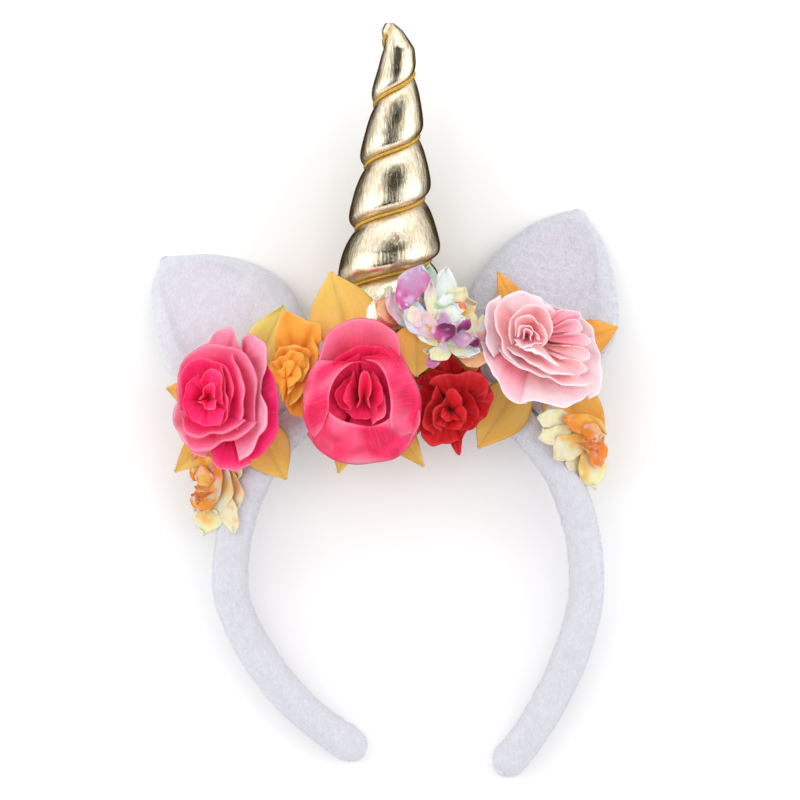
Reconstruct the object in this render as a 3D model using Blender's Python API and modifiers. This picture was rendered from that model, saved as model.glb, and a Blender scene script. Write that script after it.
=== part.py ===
"""A headband with a gold horn, two plush ears and a row of cloth flowers.

It is made in its own frame first: X runs across it, Y up from the wearer's head to the horn's tip, and
Z forward, from the back of the band to the flowers. At the end it is laid on its back, with the flowers
up, on the horn, the ears and the two ends of the band. Lengths are in metres and angles in degrees.
"""

import math

import bmesh
import bpy
import numpy as np
from mathutils import Matrix, Vector
from mathutils.bvhtree import BVHTree

# Band: a padded loop that follows an oval, open at the bottom
BAND_HALF_WIDTH = 0.0676
BAND_ARCH_HEIGHT = 0.0775
BAND_THICKNESS = 0.0128
BAND_DEPTH = 0.0150
BAND_END_ROUND = 0.0070
BAND_END_SHARES = (0.0, 0.10, 0.35, 0.70)
BAND_END_FULLNESS = 0.25
BAND_SQUARENESS = 2.4
ARCH_POWER = 2.15
LEFT_LIMB_DROP = 0.0683
LEFT_LIMB_POWER = 1.55
LEFT_LIMB_REACH = 0.925
RIGHT_LIMB_DROP = 0.0912
RIGHT_LIMB_POWER = 1.60
RIGHT_LIMB_REACH = 0.775

# Horn: a stuffed cone, drawn in by a cord that winds down it
HORN_AT = -5.0
HORN_HEIGHT = 0.1343
HORN_BASE_RADIUS = 0.0191
HORN_SINK = 0.0040
HORN_LEAN = 0.0036
HORN_HOOK = 0.0036
LEAN_POWER = 1.8
HOOK_FROM_SHARE = 0.925
HOOK_POWER = 1.2
CORD_DIAMETER = 0.0019
CORD_PITCH = 0.0236
CORD_TURN_AT_LEFT = 0.0326
CORD_TOP_SHARE = 0.965
CORD_FOOT_SHARE = 0.13

# Ears: stuffed plush, hollowed a little on the front
EAR_THICKNESS = 0.0090
EAR_HOLLOW = 0.0030
EAR_HOLLOW_REACH = 0.72
EAR_BEND_POWER = 1.2
EAR_SIDE_POWER = 3
EAR_TOP_POWER = 5
EAR_RIM_SHARE = 0.17
LEFT_EAR_LENGTH = 0.0750
LEFT_EAR_WIDTH = 0.0530
RIGHT_EAR_LENGTH = 0.0760
RIGHT_EAR_WIDTH = 0.0575

# Flowers: width and height seen from the front, and depth from the seat to the rim
ROSE_LEFT_WIDTH = 0.0460
ROSE_LEFT_HEIGHT = 0.0570
ROSE_LEFT_DEPTH = 0.0230
ROSE_CENTRE_WIDTH = 0.0465
ROSE_CENTRE_HEIGHT = 0.0600
ROSE_CENTRE_DEPTH = 0.0240
ROSE_ORANGE_WIDTH = 0.0290
ROSE_ORANGE_HEIGHT = 0.0440
ROSE_ORANGE_DEPTH = 0.0120
ROSE_RED_WIDTH = 0.0310
ROSE_RED_HEIGHT = 0.0385
ROSE_RED_DEPTH = 0.0150
ROSE_BLUSH_WIDTH = 0.0530
ROSE_BLUSH_HEIGHT = 0.0490
ROSE_BLUSH_DEPTH = 0.0210
HYDRANGEA_WIDTH = 0.0430
HYDRANGEA_HEIGHT = 0.0420
HYDRANGEA_DEPTH = 0.0130
BLOSSOM_LEFT_WIDTH = 0.0220
BLOSSOM_LEFT_HEIGHT = 0.0330
BLOSSOM_LEFT_DEPTH = 0.0110
BLOSSOM_RIGHT_WIDTH = 0.0270
BLOSSOM_RIGHT_HEIGHT = 0.0290
BLOSSOM_RIGHT_DEPTH = 0.0110
STAMEN_LENGTH = 0.0100
STAMEN_DIAMETER = 0.0011
STAMEN_SPREAD = 22.0
STAMEN_THREADS = 6
LEAF_LENGTH = 0.0300
LEAF_WIDTH = 0.0170
CLOTH_THICKNESS = 0.0010
PETAL_SIDE_DROP = 0.20
PETAL_SIDE_POWER = 2.4
PETAL_ROLL_FROM = 0.70
PETAL_FLARE = 1.15
PETAL_LAP = 0.05
CORE_SIDES = 8
CORE_FOOT = 0.11
CORE_TOP = 0.07
CORE_HEIGHT = 0.60
KNOT_RADIUS = 0.0018
LEAF_STEM = 0.06
LEAF_SHOULDER = 0.90
LEAF_FOLD = 0.14
LEAF_DROOP = 0.05

# Fit
CLEARANCE = 0.0003
REST_PRESS = 0.0004

# How finely each form is divided, and how sharp a fold shows as an edge
SHARP_ANGLE = math.radians(45)
BAND_STATIONS = 36
BAND_SIDES = 10
LINE_SAMPLES = 720
HORN_SIDES = 12
EAR_COLUMNS = 8
PETAL_ROWS = 3
PETAL_COLUMNS = 3
LEAF_ROWS = 5

# Horn sections: share of the height, radius as a share of the base radius
HORN_SECTIONS = (
    (0.00, 0.86),
    (0.07, 0.97),
    (0.20, 1.03),
    (0.35, 0.94),
    (0.50, 0.75),
    (0.60, 0.66),
    (0.70, 0.55),
    (0.80, 0.46),
    (0.87, 0.37),
    (0.93, 0.31),
    (0.98, 0.20),
    (1.00, 0.08),
)
# A lobe of the horn: share of the way from one turn of the cord down to the next, share of the radius
LOBE_SECTIONS = (
    (0.00, 0.860),
    (0.08, 0.870),
    (0.30, 0.985),
    (0.66, 1.045),
    (0.84, 1.020),
    (0.93, 0.870),
    (1.00, 0.860),
)
# Ear outlines: share of the length, left edge and right edge as shares of the width
LEFT_EAR_OUTLINE = (
    (0.20, -0.40, 0.52),
    (0.42, -0.47, 0.59),
    (0.60, -0.45, 0.56),
    (0.75, -0.38, 0.44),
    (0.87, -0.30, 0.26),
    (0.95, -0.21, 0.08),
    (1.00, -0.14, -0.04),
)
RIGHT_EAR_OUTLINE = (
    (0.20, -0.46, 0.40),
    (0.40, -0.53, 0.47),
    (0.55, -0.50, 0.45),
    (0.69, -0.42, 0.37),
    (0.83, -0.30, 0.26),
    (0.94, -0.15, 0.13),
    (1.00, -0.05, 0.05),
)

# Ears: the foot's middle in degrees round the oval and half the angle it takes up there, the way the
# tip points (0 right, 90 up), and how far the ear turns about its length
EARS = {
    "ear_left": dict(
        outline=LEFT_EAR_OUTLINE, length=LEFT_EAR_LENGTH, width=LEFT_EAR_WIDTH,
        at=-42.0, spread=11.0, points=121.0, turn=12.0,
    ),
    "ear_right": dict(
        outline=RIGHT_EAR_OUTLINE, length=RIGHT_EAR_LENGTH, width=RIGHT_EAR_WIDTH,
        at=33.0, spread=12.0, points=72.0, turn=-6.0,
    ),
}

# Petal whorls: foot and rim radius as shares of the flower's radius, low and high as shares of its
# depth, half the angle that a petal takes up, how far its rim rolls out, and the first petal's angle
WHORLS = {
    "rose": (
        dict(count=5, foot=0.10, rim=1.00, low=0.12, high=0.70, half=42, roll=0.05, first=90),
        dict(count=3, foot=0.10, rim=0.70, low=0.22, high=0.92, half=64, roll=0.05, first=50),
        dict(count=3, foot=0.08, rim=0.38, low=0.34, high=1.00, half=56, roll=0.02, first=20),
    ),
    "small_rose": (
        dict(count=5, foot=0.12, rim=1.00, low=0.12, high=0.78, half=42, roll=0.05, first=90),
        dict(count=3, foot=0.10, rim=0.56, low=0.26, high=1.00, half=58, roll=0.04, first=50),
    ),
    "hydrangea": (
        dict(count=5, foot=0.10, rim=1.00, low=0.24, high=0.56, half=35, roll=0.05, first=20),
        dict(count=3, foot=0.10, rim=0.66, low=0.36, high=0.92, half=52, roll=0.06, first=55),
        dict(count=3, foot=0.08, rim=0.34, low=0.46, high=1.00, half=50, roll=0.02, first=10),
    ),
    "blossom": (
        dict(count=5, foot=0.16, rim=1.00, low=0.20, high=0.70, half=32, roll=0.05, first=90),
        dict(count=2, foot=0.12, rim=0.50, low=0.34, high=1.00, half=60, roll=0.04, first=60),
    ),
}

# Where each flower sits: degrees round the oval from the band's top, how far out from its middle line
# as a share of the band's thickness, its tilt, the way it tilts (0 right, 90 up), and its own turn
FLOWERS = (
    dict(name="blossom_left", whorls="blossom", at=-66.0, out=0.70, tilt=34, toward=195, turn=0),
    dict(name="blossom_right", whorls="blossom", at=50.0, out=0.70, tilt=34, toward=330, turn=0),
    dict(name="rose_orange", whorls="small_rose", at=-27.5, out=1.35, tilt=6, toward=120, turn=15),
    dict(name="rose_red", whorls="rose", at=14.3, out=-0.35, tilt=8, toward=280, turn=30),
    dict(name="hydrangea", whorls="hydrangea", at=6.0, out=1.98, tilt=24, toward=70, turn=0),
    dict(name="rose_left", whorls="rose", at=-45.0, out=1.50, tilt=26, toward=160, turn=0),
    dict(name="rose_blush", whorls="rose", at=30.8, out=1.92, tilt=22, toward=65, turn=36),
    dict(name="rose_centre", whorls="rose", at=-13.8, out=0.15, tilt=6, toward=290, turn=10),
)

# Leaves: the flower that each one backs, the way it points, how far out it starts as a share of that
# flower's half size, length and width as shares of LEAF_LENGTH and LEAF_WIDTH, and its lift
LEAVES = (
    dict(name="leaf_left_top", of="rose_left", points=66, start=0.40, long=1.00, wide=0.95, lift=4),
    dict(name="leaf_left_side", of="rose_left", points=168, start=0.30, long=0.74, wide=0.80, lift=4),
    dict(name="leaf_left_low", of="rose_left", points=224, start=0.25, long=0.98, wide=0.75, lift=3),
    dict(name="leaf_left_inner", of="rose_left", points=302, start=0.20, long=0.92, wide=1.10, lift=3),
    dict(name="leaf_centre_top", of="rose_centre", points=106, start=0.40, long=1.05, wide=1.50, lift=6),
    dict(name="leaf_centre_side", of="rose_centre", points=168, start=0.20, long=0.95, wide=0.80, lift=4),
    dict(name="leaf_centre_low", of="rose_centre", points=256, start=0.20, long=0.98, wide=0.80, lift=3),
    dict(name="leaf_centre_edge", of="rose_centre", points=308, start=0.20, long=1.15, wide=0.75, lift=3),
    dict(name="leaf_red_top", of="rose_red", points=92, start=0.10, long=0.95, wide=1.30, lift=10),
    dict(name="leaf_blush_low", of="rose_blush", points=237, start=0.35, long=1.12, wide=1.20, lift=2),
    dict(name="leaf_blush_right", of="rose_blush", points=300, start=0.25, long=1.35, wide=1.30, lift=2),
    dict(name="leaf_blush_top", of="rose_blush", points=116, start=0.40, long=0.85, wide=0.60, lift=2),
    dict(name="leaf_blush_side", of="rose_blush", points=20, start=0.36, long=0.74, wide=0.80, lift=2),
)

SIZES = {
    "rose_left": (ROSE_LEFT_WIDTH, ROSE_LEFT_HEIGHT, ROSE_LEFT_DEPTH),
    "rose_centre": (ROSE_CENTRE_WIDTH, ROSE_CENTRE_HEIGHT, ROSE_CENTRE_DEPTH),
    "rose_orange": (ROSE_ORANGE_WIDTH, ROSE_ORANGE_HEIGHT, ROSE_ORANGE_DEPTH),
    "rose_red": (ROSE_RED_WIDTH, ROSE_RED_HEIGHT, ROSE_RED_DEPTH),
    "rose_blush": (ROSE_BLUSH_WIDTH, ROSE_BLUSH_HEIGHT, ROSE_BLUSH_DEPTH),
    "hydrangea": (HYDRANGEA_WIDTH, HYDRANGEA_HEIGHT, HYDRANGEA_DEPTH),
    "blossom_left": (BLOSSOM_LEFT_WIDTH, BLOSSOM_LEFT_HEIGHT, BLOSSOM_LEFT_DEPTH),
    "blossom_right": (BLOSSOM_RIGHT_WIDTH, BLOSSOM_RIGHT_HEIGHT, BLOSSOM_RIGHT_DEPTH),
}

COLOURS = {
    "plush": ((0.85, 0.84, 0.88), 0.95, 0.0),
    "gold_lame": ((0.80, 0.66, 0.36), 0.25, 1.0),
    "gold_cord": ((0.75, 0.48, 0.08), 0.35, 1.0),
    "rose_left": ((0.90, 0.06, 0.20), 0.8, 0.0),
    "rose_centre": ((0.90, 0.05, 0.18), 0.8, 0.0),
    "rose_orange": ((0.95, 0.50, 0.12), 0.8, 0.0),
    "rose_red": ((0.65, 0.02, 0.04), 0.8, 0.0),
    "rose_blush": ((0.92, 0.62, 0.66), 0.8, 0.0),
    "hydrangea": ((0.80, 0.82, 0.88), 0.8, 0.0),
    "blossom": ((0.92, 0.76, 0.36), 0.8, 0.0),
    "stamens": ((0.85, 0.32, 0.14), 0.7, 0.0),
    "leaf": ((0.86, 0.52, 0.10), 0.8, 0.0),
}


def clear_scene():
    for piece in list(bpy.data.objects):
        bpy.data.objects.remove(piece, do_unlink=True)


def collection_for(name):
    made = bpy.data.collections.new(name)
    bpy.context.scene.collection.children.link(made)
    return made


def material(name):
    colour, roughness, metallic = COLOURS[name]
    made = bpy.data.materials.new(name)
    made.use_nodes = True
    shader = made.node_tree.nodes["Principled BSDF"]
    shader.inputs["Base Color"].default_value = (*colour, 1.0)
    shader.inputs["Roughness"].default_value = roughness
    shader.inputs["Metallic"].default_value = metallic
    made.diffuse_color = (*colour, 1.0)
    return made


def table_value(rows, share, column=1):
    """The value in a table's column at this share, read straight between its rows."""
    shares = [row[0] for row in rows]
    values = [row[column] for row in rows]
    return float(np.interp(share, shares, values))


def direction(degrees):
    return Vector((math.cos(math.radians(degrees)), math.sin(math.radians(degrees)), 0.0))


def closed_mesh(name, points, faces, group):
    """A mesh object with its doubles merged, its open ends filled and its faces turned outwards."""
    mesh = bpy.data.meshes.new(name)
    mesh.from_pydata([tuple(point) for point in points], [], faces)
    shape = bmesh.new()
    shape.from_mesh(mesh)
    bmesh.ops.remove_doubles(shape, verts=shape.verts, dist=1e-6)
    bmesh.ops.holes_fill(shape, edges=[edge for edge in shape.edges if edge.is_boundary], sides=0)
    bmesh.ops.recalc_face_normals(shape, faces=shape.faces)
    bpy.data.meshes.remove(mesh)
    return object_of(name, shape, group)


def object_of(name, shape, group):
    """A mesh object of the shape that bmesh has made."""
    mesh = bpy.data.meshes.new(name)
    shape.to_mesh(mesh)
    shape.free()
    made = bpy.data.objects.new(name, mesh)
    group.objects.link(made)
    return made


def cloth_sheets(name, grids, group):
    """A mesh object of open sheets, each a grid of points, with a Solidify that gives them a wall."""
    points = []
    faces = []
    for grid in grids:
        first = len(points)
        columns = len(grid[0])
        points += [tuple(point) for row in grid for point in row]
        for row in range(len(grid) - 1):
            for column in range(columns - 1):
                corner = first + row * columns + column
                faces.append((corner, corner + 1, corner + columns + 1, corner + columns))
    mesh = bpy.data.meshes.new(name)
    mesh.from_pydata(points, [], faces)
    made = bpy.data.objects.new(name, mesh)
    group.objects.link(made)
    wall = made.modifiers.new("cloth", "SOLIDIFY")
    wall.thickness = CLOTH_THICKNESS
    wall.offset = 0.0
    return made


def finish(piece, look):
    piece.data.materials.append(look)
    piece.data.shade_smooth()
    piece.data.set_sharp_from_angle(angle=SHARP_ANGLE)


def boolean(piece, tool, operation):
    step = piece.modifiers.new(tool.name, "BOOLEAN")
    step.operation = operation
    step.solver = "EXACT"
    step.object = tool
    return step


def hide_guide(piece):
    piece.hide_render = True
    piece.display_type = "WIRE"


def limb_sizes(side):
    """Drop, roundness and reach of the limb on this side: -1 left, 1 right."""
    if side < 0:
        return LEFT_LIMB_DROP, LEFT_LIMB_POWER, LEFT_LIMB_REACH
    return RIGHT_LIMB_DROP, RIGHT_LIMB_POWER, RIGHT_LIMB_REACH


def oval(degrees):
    """A point of the band's middle line, this many degrees round its oval from the top."""
    side = -1 if degrees < 0 else 1
    angle = math.radians(abs(degrees))
    drop, power, _ = limb_sizes(side)
    if abs(degrees) <= 90:
        power = ARCH_POWER
        up = BAND_ARCH_HEIGHT * math.cos(angle) ** (2 / power)
    else:
        up = -drop * abs(math.cos(angle)) ** (2 / power)
    return Vector((side * BAND_HALF_WIDTH * math.sin(angle) ** (2 / power), up, 0.0))


def beside_band(degrees, out):
    """A point beside the band: degrees round its oval, and metres out from its middle line."""
    run = (oval(degrees + 1) - oval(degrees - 1)).normalized()
    return oval(degrees) + Vector((-run.y, run.x, 0.0)) * out


def band_line():
    """Points along the band's middle line from the left end to the right, and each one's fullness."""
    ends = []
    for side in (-1, 1):
        _, power, reach = limb_sizes(side)
        ends.append(side * (180 - math.degrees(math.acos(reach ** (power / 2)))))
    line = np.array([oval(angle) for angle in np.linspace(*ends, LINE_SAMPLES)])
    run = np.concatenate([[0.0], np.cumsum(np.linalg.norm(np.diff(line, axis=0), axis=1))])
    near = BAND_END_ROUND * np.array(BAND_END_SHARES)
    inner = np.linspace(BAND_END_ROUND, run[-1] - BAND_END_ROUND, BAND_STATIONS)
    places = np.concatenate([near, inner, run[-1] - near[::-1]])
    from_end = np.minimum(np.minimum(places, run[-1] - places) / BAND_END_ROUND, 1.0)
    fullness = np.sqrt(1 - (1 - from_end) ** 2 * (1 - BAND_END_FULLNESS ** 2))
    return np.stack([np.interp(places, run, line[:, axis]) for axis in range(3)], axis=1), fullness


def band_shape(name, group, grow=0.0):
    """The padded loop, with its surface moved out by grow."""
    line, fullness = band_line()
    points = []
    for index, centre in enumerate(line):
        run = Vector(line[min(index + 1, len(line) - 1)] - line[max(index - 1, 0)]).normalized()
        outward = Vector((-run.y, run.x, 0.0))
        for side in range(BAND_SIDES):
            angle = 2 * math.pi * (side + 0.5) / BAND_SIDES
            across = math.copysign(abs(math.cos(angle)) ** (2 / BAND_SQUARENESS), math.cos(angle))
            forward = math.copysign(abs(math.sin(angle)) ** (2 / BAND_SQUARENESS), math.sin(angle))
            reach = (BAND_THICKNESS / 2 * fullness[index] + grow) * across
            lift = (BAND_DEPTH / 2 * fullness[index] + grow) * forward
            points.append(Vector(centre) + outward * reach + Vector((0.0, 0.0, lift)))
    faces = []
    for index in range(len(line) - 1):
        for side in range(BAND_SIDES):
            one = index * BAND_SIDES + side
            two = index * BAND_SIDES + (side + 1) % BAND_SIDES
            faces.append((one, two, two + BAND_SIDES, one + BAND_SIDES))
    return closed_mesh(name, points, faces, group)


def horn_foot():
    return beside_band(HORN_AT, BAND_THICKNESS / 2 - HORN_SINK)


def horn_middle(height):
    """The middle of the horn at a height above its foot, leaning right, with the tip hooked left."""
    share = height / HORN_HEIGHT
    hook = max(share - HOOK_FROM_SHARE, 0.0) / (1 - HOOK_FROM_SHARE)
    aside = HORN_LEAN * share ** LEAN_POWER - HORN_HOOK * hook ** HOOK_POWER
    return horn_foot() + Vector((aside, height, 0.0))


def cord_height(turns):
    """The cord's height above the horn's foot: half a turn is the horn's left side."""
    return CORD_TURN_AT_LEFT + CORD_PITCH * (0.5 - turns)


def horn_radius(height, turns):
    between = ((cord_height(turns) - height) / CORD_PITCH) % 1.0
    section = HORN_BASE_RADIUS * table_value(HORN_SECTIONS, height / HORN_HEIGHT)
    return section * table_value(LOBE_SECTIONS, between)


def horn_point(height, turns, out=0.0):
    """A point on the horn, or out from it: turns go from the right round the front to the left."""
    angle = 2 * math.pi * turns
    radius = horn_radius(height, turns) + out
    return horn_middle(height) + Vector((math.cos(angle), 0.0, math.sin(angle))) * radius


def horn_shape(name, group):
    """The cone as one ribbon that winds down it, from one turn of the cord to the next."""
    first = math.floor((CORD_TURN_AT_LEFT - HORN_HEIGHT) / CORD_PITCH - 1) * HORN_SIDES
    last = math.ceil(CORD_TURN_AT_LEFT / CORD_PITCH + 1) * HORN_SIDES
    points = []
    for side in range(first, last + 1):
        turns = side / HORN_SIDES
        for share, _ in LOBE_SECTIONS:
            height = cord_height(turns) - share * CORD_PITCH
            points.append(horn_point(min(max(height, 0.0), HORN_HEIGHT), turns))
    rows = len(LOBE_SECTIONS)
    faces = []
    for side in range(last - first):
        for row in range(rows - 1):
            corner = side * rows + row
            faces.append((corner, corner + rows, corner + rows + 1, corner + 1))
    return closed_mesh(name, points, faces, group)


def cord_shape(name, group):
    """The cord, wound in the horn's groove from just under its tip to just above its foot."""
    top = 0.5 - (CORD_TOP_SHARE * HORN_HEIGHT - CORD_TURN_AT_LEFT) / CORD_PITCH
    foot = 0.5 - (CORD_FOOT_SHARE * HORN_HEIGHT - CORD_TURN_AT_LEFT) / CORD_PITCH
    curve = bpy.data.curves.new(name, "CURVE")
    curve.dimensions = "3D"
    curve.bevel_depth = CORD_DIAMETER / 2
    curve.bevel_resolution = 1
    curve.use_fill_caps = True
    line = curve.splines.new("POLY")
    sides = range(math.ceil(top * HORN_SIDES), math.floor(foot * HORN_SIDES) + 1)
    line.points.add(len(sides) - 1)
    out = CORD_DIAMETER / 2 + CLEARANCE
    for point, side in zip(line.points, sides):
        turns = side / HORN_SIDES
        point.co = (*horn_point(cord_height(turns), turns, out), 1.0)
    made = bpy.data.objects.new(name, curve)
    group.objects.link(made)
    return made


def lowest_through(support, normal):
    """The point of a support that lies farthest against the floor's normal."""
    return support[np.argmin(support @ normal)]


def floor_under(supports):
    """Normal and offset of the floor that the three supports rest on when the headband lies down."""
    normal = np.array([0.0, 0.0, 1.0])
    for _ in range(12):
        one, two, three = (lowest_through(support, normal) for support in supports)
        normal = np.cross(two - one, three - one)
        normal /= np.linalg.norm(normal) * math.copysign(1.0, normal[2])
    return normal, float(one @ normal)


def mesh_points(piece):
    """Points, their normals and the triangles of a piece as its modifiers leave it."""
    bpy.context.view_layer.update()
    shown = piece.evaluated_get(bpy.context.evaluated_depsgraph_get())
    mesh = shown.to_mesh()
    points = [shown.matrix_world @ vertex.co for vertex in mesh.vertices]
    normals = [shown.matrix_world.to_3x3() @ vertex.normal for vertex in mesh.vertices]
    mesh.calc_loop_triangles()
    faces = [tuple(face.vertices) for face in mesh.loop_triangles]
    shown.to_mesh_clear()
    return points, normals, faces


def ear_grids(ear, back):
    """Front and back of an ear, whose tip lies this far behind its foot."""
    up = direction(ear["points"])
    right = direction(ear["points"] - 90)
    foot = beside_band(ear["at"], BAND_THICKNESS / 2)
    front = []
    rear = []
    rows = [(0.0, None, None)] + list(ear["outline"])
    for share, left_edge, right_edge in rows:
        front.append([])
        rear.append([])
        for column in range(EAR_COLUMNS + 1):
            across = 2 * column / EAR_COLUMNS - 1
            if left_edge is None:
                seat = ear["at"] + across * ear["spread"]
                point = beside_band(seat, BAND_THICKNESS / 2 + CLEARANCE)
            else:
                width = left_edge + (right_edge - left_edge) * (across + 1) / 2
                width *= ear["width"]
                point = foot + up * share * ear["length"]
                point += right * width * math.cos(math.radians(ear["turn"]))
                point.z -= width * math.sin(math.radians(ear["turn"]))
            point.z -= back * share ** EAR_BEND_POWER
            round_side = math.sqrt(1 - abs(across) ** EAR_SIDE_POWER)
            round_top = max(math.sqrt(1 - share ** EAR_TOP_POWER), EAR_RIM_SHARE)
            half = EAR_THICKNESS / 2 * round_side * round_top
            hollow = EAR_HOLLOW * max(1 - (across / EAR_HOLLOW_REACH) ** 2, 0.0)
            hollow *= math.sqrt(math.sin(math.pi * share)) if 0 < share < 1 else 0.0
            front[-1].append(point + Vector((0.0, 0.0, half - hollow)))
            rear[-1].append(point - Vector((0.0, 0.0, half)))
    return front, rear


def ear_shape(name, group, normal, offset):
    """An ear that leans back just far enough to touch the floor."""
    ear = EARS[name]
    near = 0.0
    far = ear["length"]
    for _ in range(40):
        back = (near + far) / 2
        points = np.array([point for grid in ear_grids(ear, back) for row in grid for point in row])
        if (points @ normal).min() > offset:
            near = back
        else:
            far = back
    front, rear = ear_grids(ear, back)
    columns = EAR_COLUMNS + 1
    points = [point for grid in (front, rear) for row in grid for point in row]
    half = len(points) // 2
    faces = []
    for row in range(len(front) - 1):
        for column in range(EAR_COLUMNS):
            corner = row * columns + column
            quad = (corner, corner + 1, corner + columns + 1, corner + columns)
            faces.append(quad)
            faces.append(tuple(half + index for index in reversed(quad)))
    return closed_mesh(name, points, faces, group)


def petal(whorl, index, size):
    """One petal: a cupped sheet from the flower's foot to a rolled rim, as a grid of points."""
    wide, high, deep = size
    centre = whorl["first"] + 360 * index / whorl["count"]
    grid = []
    for row in range(PETAL_ROWS + 1):
        up = row / PETAL_ROWS
        grid.append([])
        for column in range(PETAL_COLUMNS + 1):
            across = 2 * column / PETAL_COLUMNS - 1
            reach = up * (1 - PETAL_SIDE_DROP * abs(across) ** PETAL_SIDE_POWER)
            rolled = max(reach - PETAL_ROLL_FROM, 0.0) / (1 - PETAL_ROLL_FROM)
            radius = whorl["foot"] + (whorl["rim"] - whorl["foot"]) * reach ** PETAL_FLARE
            radius *= 1 + PETAL_LAP * across
            lift = whorl["low"] + (whorl["high"] - whorl["low"]) * reach
            lift -= whorl["roll"] * rolled ** 2
            toward = direction(centre + whorl["half"] * across)
            grid[-1].append(
                Vector((toward.x * radius * wide / 2, toward.y * radius * high / 2, lift * deep))
            )
    return grid


def flower_core(name, size, group):
    """The stalk end that a flower's petals are gathered on."""
    wide, high, deep = size
    shape = bmesh.new()
    bmesh.ops.create_cone(
        shape, cap_ends=True, segments=CORE_SIDES, radius1=CORE_FOOT, radius2=CORE_TOP,
        depth=CORE_HEIGHT, matrix=Matrix.Translation((0.0, 0.0, CORE_HEIGHT / 2)),
    )
    bmesh.ops.scale(shape, vec=(wide, high, deep), verts=shape.verts)
    made = object_of(name, shape, group)
    hide_guide(made)
    return made


def flower_shape(flower, group, guides):
    """Whorls of petals joined with their core into one body."""
    name = flower["name"]
    size = SIZES[name]
    grids = []
    for whorl in WHORLS[flower["whorls"]]:
        grids += [petal(whorl, index, size) for index in range(whorl["count"])]
    made = cloth_sheets(name, grids, group)
    core = flower_core(name + "_core", size, guides)
    core.parent = made
    boolean(made, core, "UNION").use_self = True
    return made


def stamen_shape(name, group, guides):
    """A tuft of short threads that spread from one small knot."""
    threads = bmesh.new()
    for index in range(STAMEN_THREADS):
        lean = STAMEN_SPREAD if index else 0.0
        turned = Matrix.Rotation(2 * math.pi * index / (STAMEN_THREADS - 1), 4, "Z")
        turned @= Matrix.Rotation(math.radians(lean), 4, "X")
        turned @= Matrix.Translation((0.0, 0.0, STAMEN_LENGTH / 2))
        bmesh.ops.create_cone(
            threads, cap_ends=True, segments=5, radius1=STAMEN_DIAMETER / 2,
            radius2=STAMEN_DIAMETER / 2, depth=STAMEN_LENGTH, matrix=turned,
        )
    made = object_of(name, threads, group)
    knot = bmesh.new()
    bmesh.ops.create_icosphere(knot, subdivisions=1, radius=KNOT_RADIUS)
    core = object_of(name + "_knot", knot, guides)
    hide_guide(core)
    core.parent = made
    boolean(made, core, "UNION").use_self = True
    return made


def leaf_shape(leaf, group):
    """A pointed leaf, folded along its middle, that bends down towards its tip."""
    length = LEAF_LENGTH * leaf["long"]
    width = LEAF_WIDTH * leaf["wide"]
    grid = []
    for row in range(LEAF_ROWS + 1):
        along = row / LEAF_ROWS
        half = width / 2 * max(math.sin(math.pi * along ** LEAF_SHOULDER), LEAF_STEM)
        grid.append([])
        for across in (-1, 0, 1):
            rise = LEAF_FOLD * half * abs(across) - LEAF_DROOP * length * along ** 2
            grid[-1].append(Vector((along * length, across * half, rise)))
    return cloth_sheets(leaf["name"], [grid], group)


def flower_place(flower):
    return beside_band(flower["at"], flower["out"] * BAND_THICKNESS)


def tilted(degrees, toward):
    """A turn that tips the Z axis this many degrees towards a direction in the XY plane."""
    axis = Vector((0.0, 0.0, 1.0)).cross(direction(toward))
    return Matrix.Rotation(math.radians(degrees), 4, axis)


def solid_of(points, faces):
    """A search tree of a solid, with the corners of its box."""
    corners = np.array(points)
    tree = BVHTree.FromPolygons(points, faces, all_triangles=True)
    return tree, corners.min(axis=0), corners.max(axis=0)


def swollen(piece):
    """A piece's points moved out by CLEARANCE, then its own points, with the faces of both."""
    points, normals, faces = mesh_points(piece)
    outer = [point + normal.normalized() * CLEARANCE for point, normal in zip(points, normals)]
    own_faces = [tuple(index + len(points) for index in face) for face in faces]
    return np.array(outer + points), faces + own_faces


def travel(touches, start, stop, step):
    """The farthest place on the way from start to stop that still touches nothing."""
    place = start
    while abs(place - start) < abs(stop - start) and not touches(place + step):
        place += step
    free = place
    blocked = place + step
    for _ in range(6):
        middle = (free + blocked) / 2
        if touches(middle):
            blocked = middle
        else:
            free = middle
    return free


def seat(piece, carriers, way=(0.0, 0.0, -1.0)):
    """Moves a piece this way from well clear onto what carries it, until CLEARANCE is left."""
    outer, faces = swollen(piece)
    way = np.array(way)
    length = np.ptp(outer, axis=0).max() + BAND_DEPTH * 3
    low = outer.min(axis=0) - abs(way) * length
    high = outer.max(axis=0) + abs(way) * length
    near = [solid for solid in carriers if (solid[1] < high).all() and (solid[2] > low).all()]

    def touches(distance):
        moved = (outer + way * distance).tolist()
        tree = BVHTree.FromPolygons(moved, faces, all_triangles=True)
        return any(tree.overlap(solid[0]) for solid in near)

    piece.location += Vector(way * travel(touches, -length, length, CLOTH_THICKNESS))


def reach_down(core, carriers, furthest):
    """Lengthens a flower's stalk to what carries it, where its petals stop it higher up."""
    foot = [vertex.index for vertex in core.data.vertices if vertex.co.z < CLEARANCE]
    both = foot + [index + len(core.data.vertices) for index in foot]
    outer, faces = swollen(core)
    down = np.array(core.matrix_world.to_3x3() @ Vector((0.0, 0.0, -1.0)))

    def touches(longer):
        moved = outer.copy()
        moved[both] += down * longer
        tree = BVHTree.FromPolygons(moved.tolist(), faces, all_triangles=True)
        return any(tree.overlap(solid[0]) for solid in carriers)

    longer = travel(touches, 0.0, furthest, CLOTH_THICKNESS / 2)
    if longer < furthest:
        for index in foot:
            core.data.vertices[index].co.z -= longer


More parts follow.
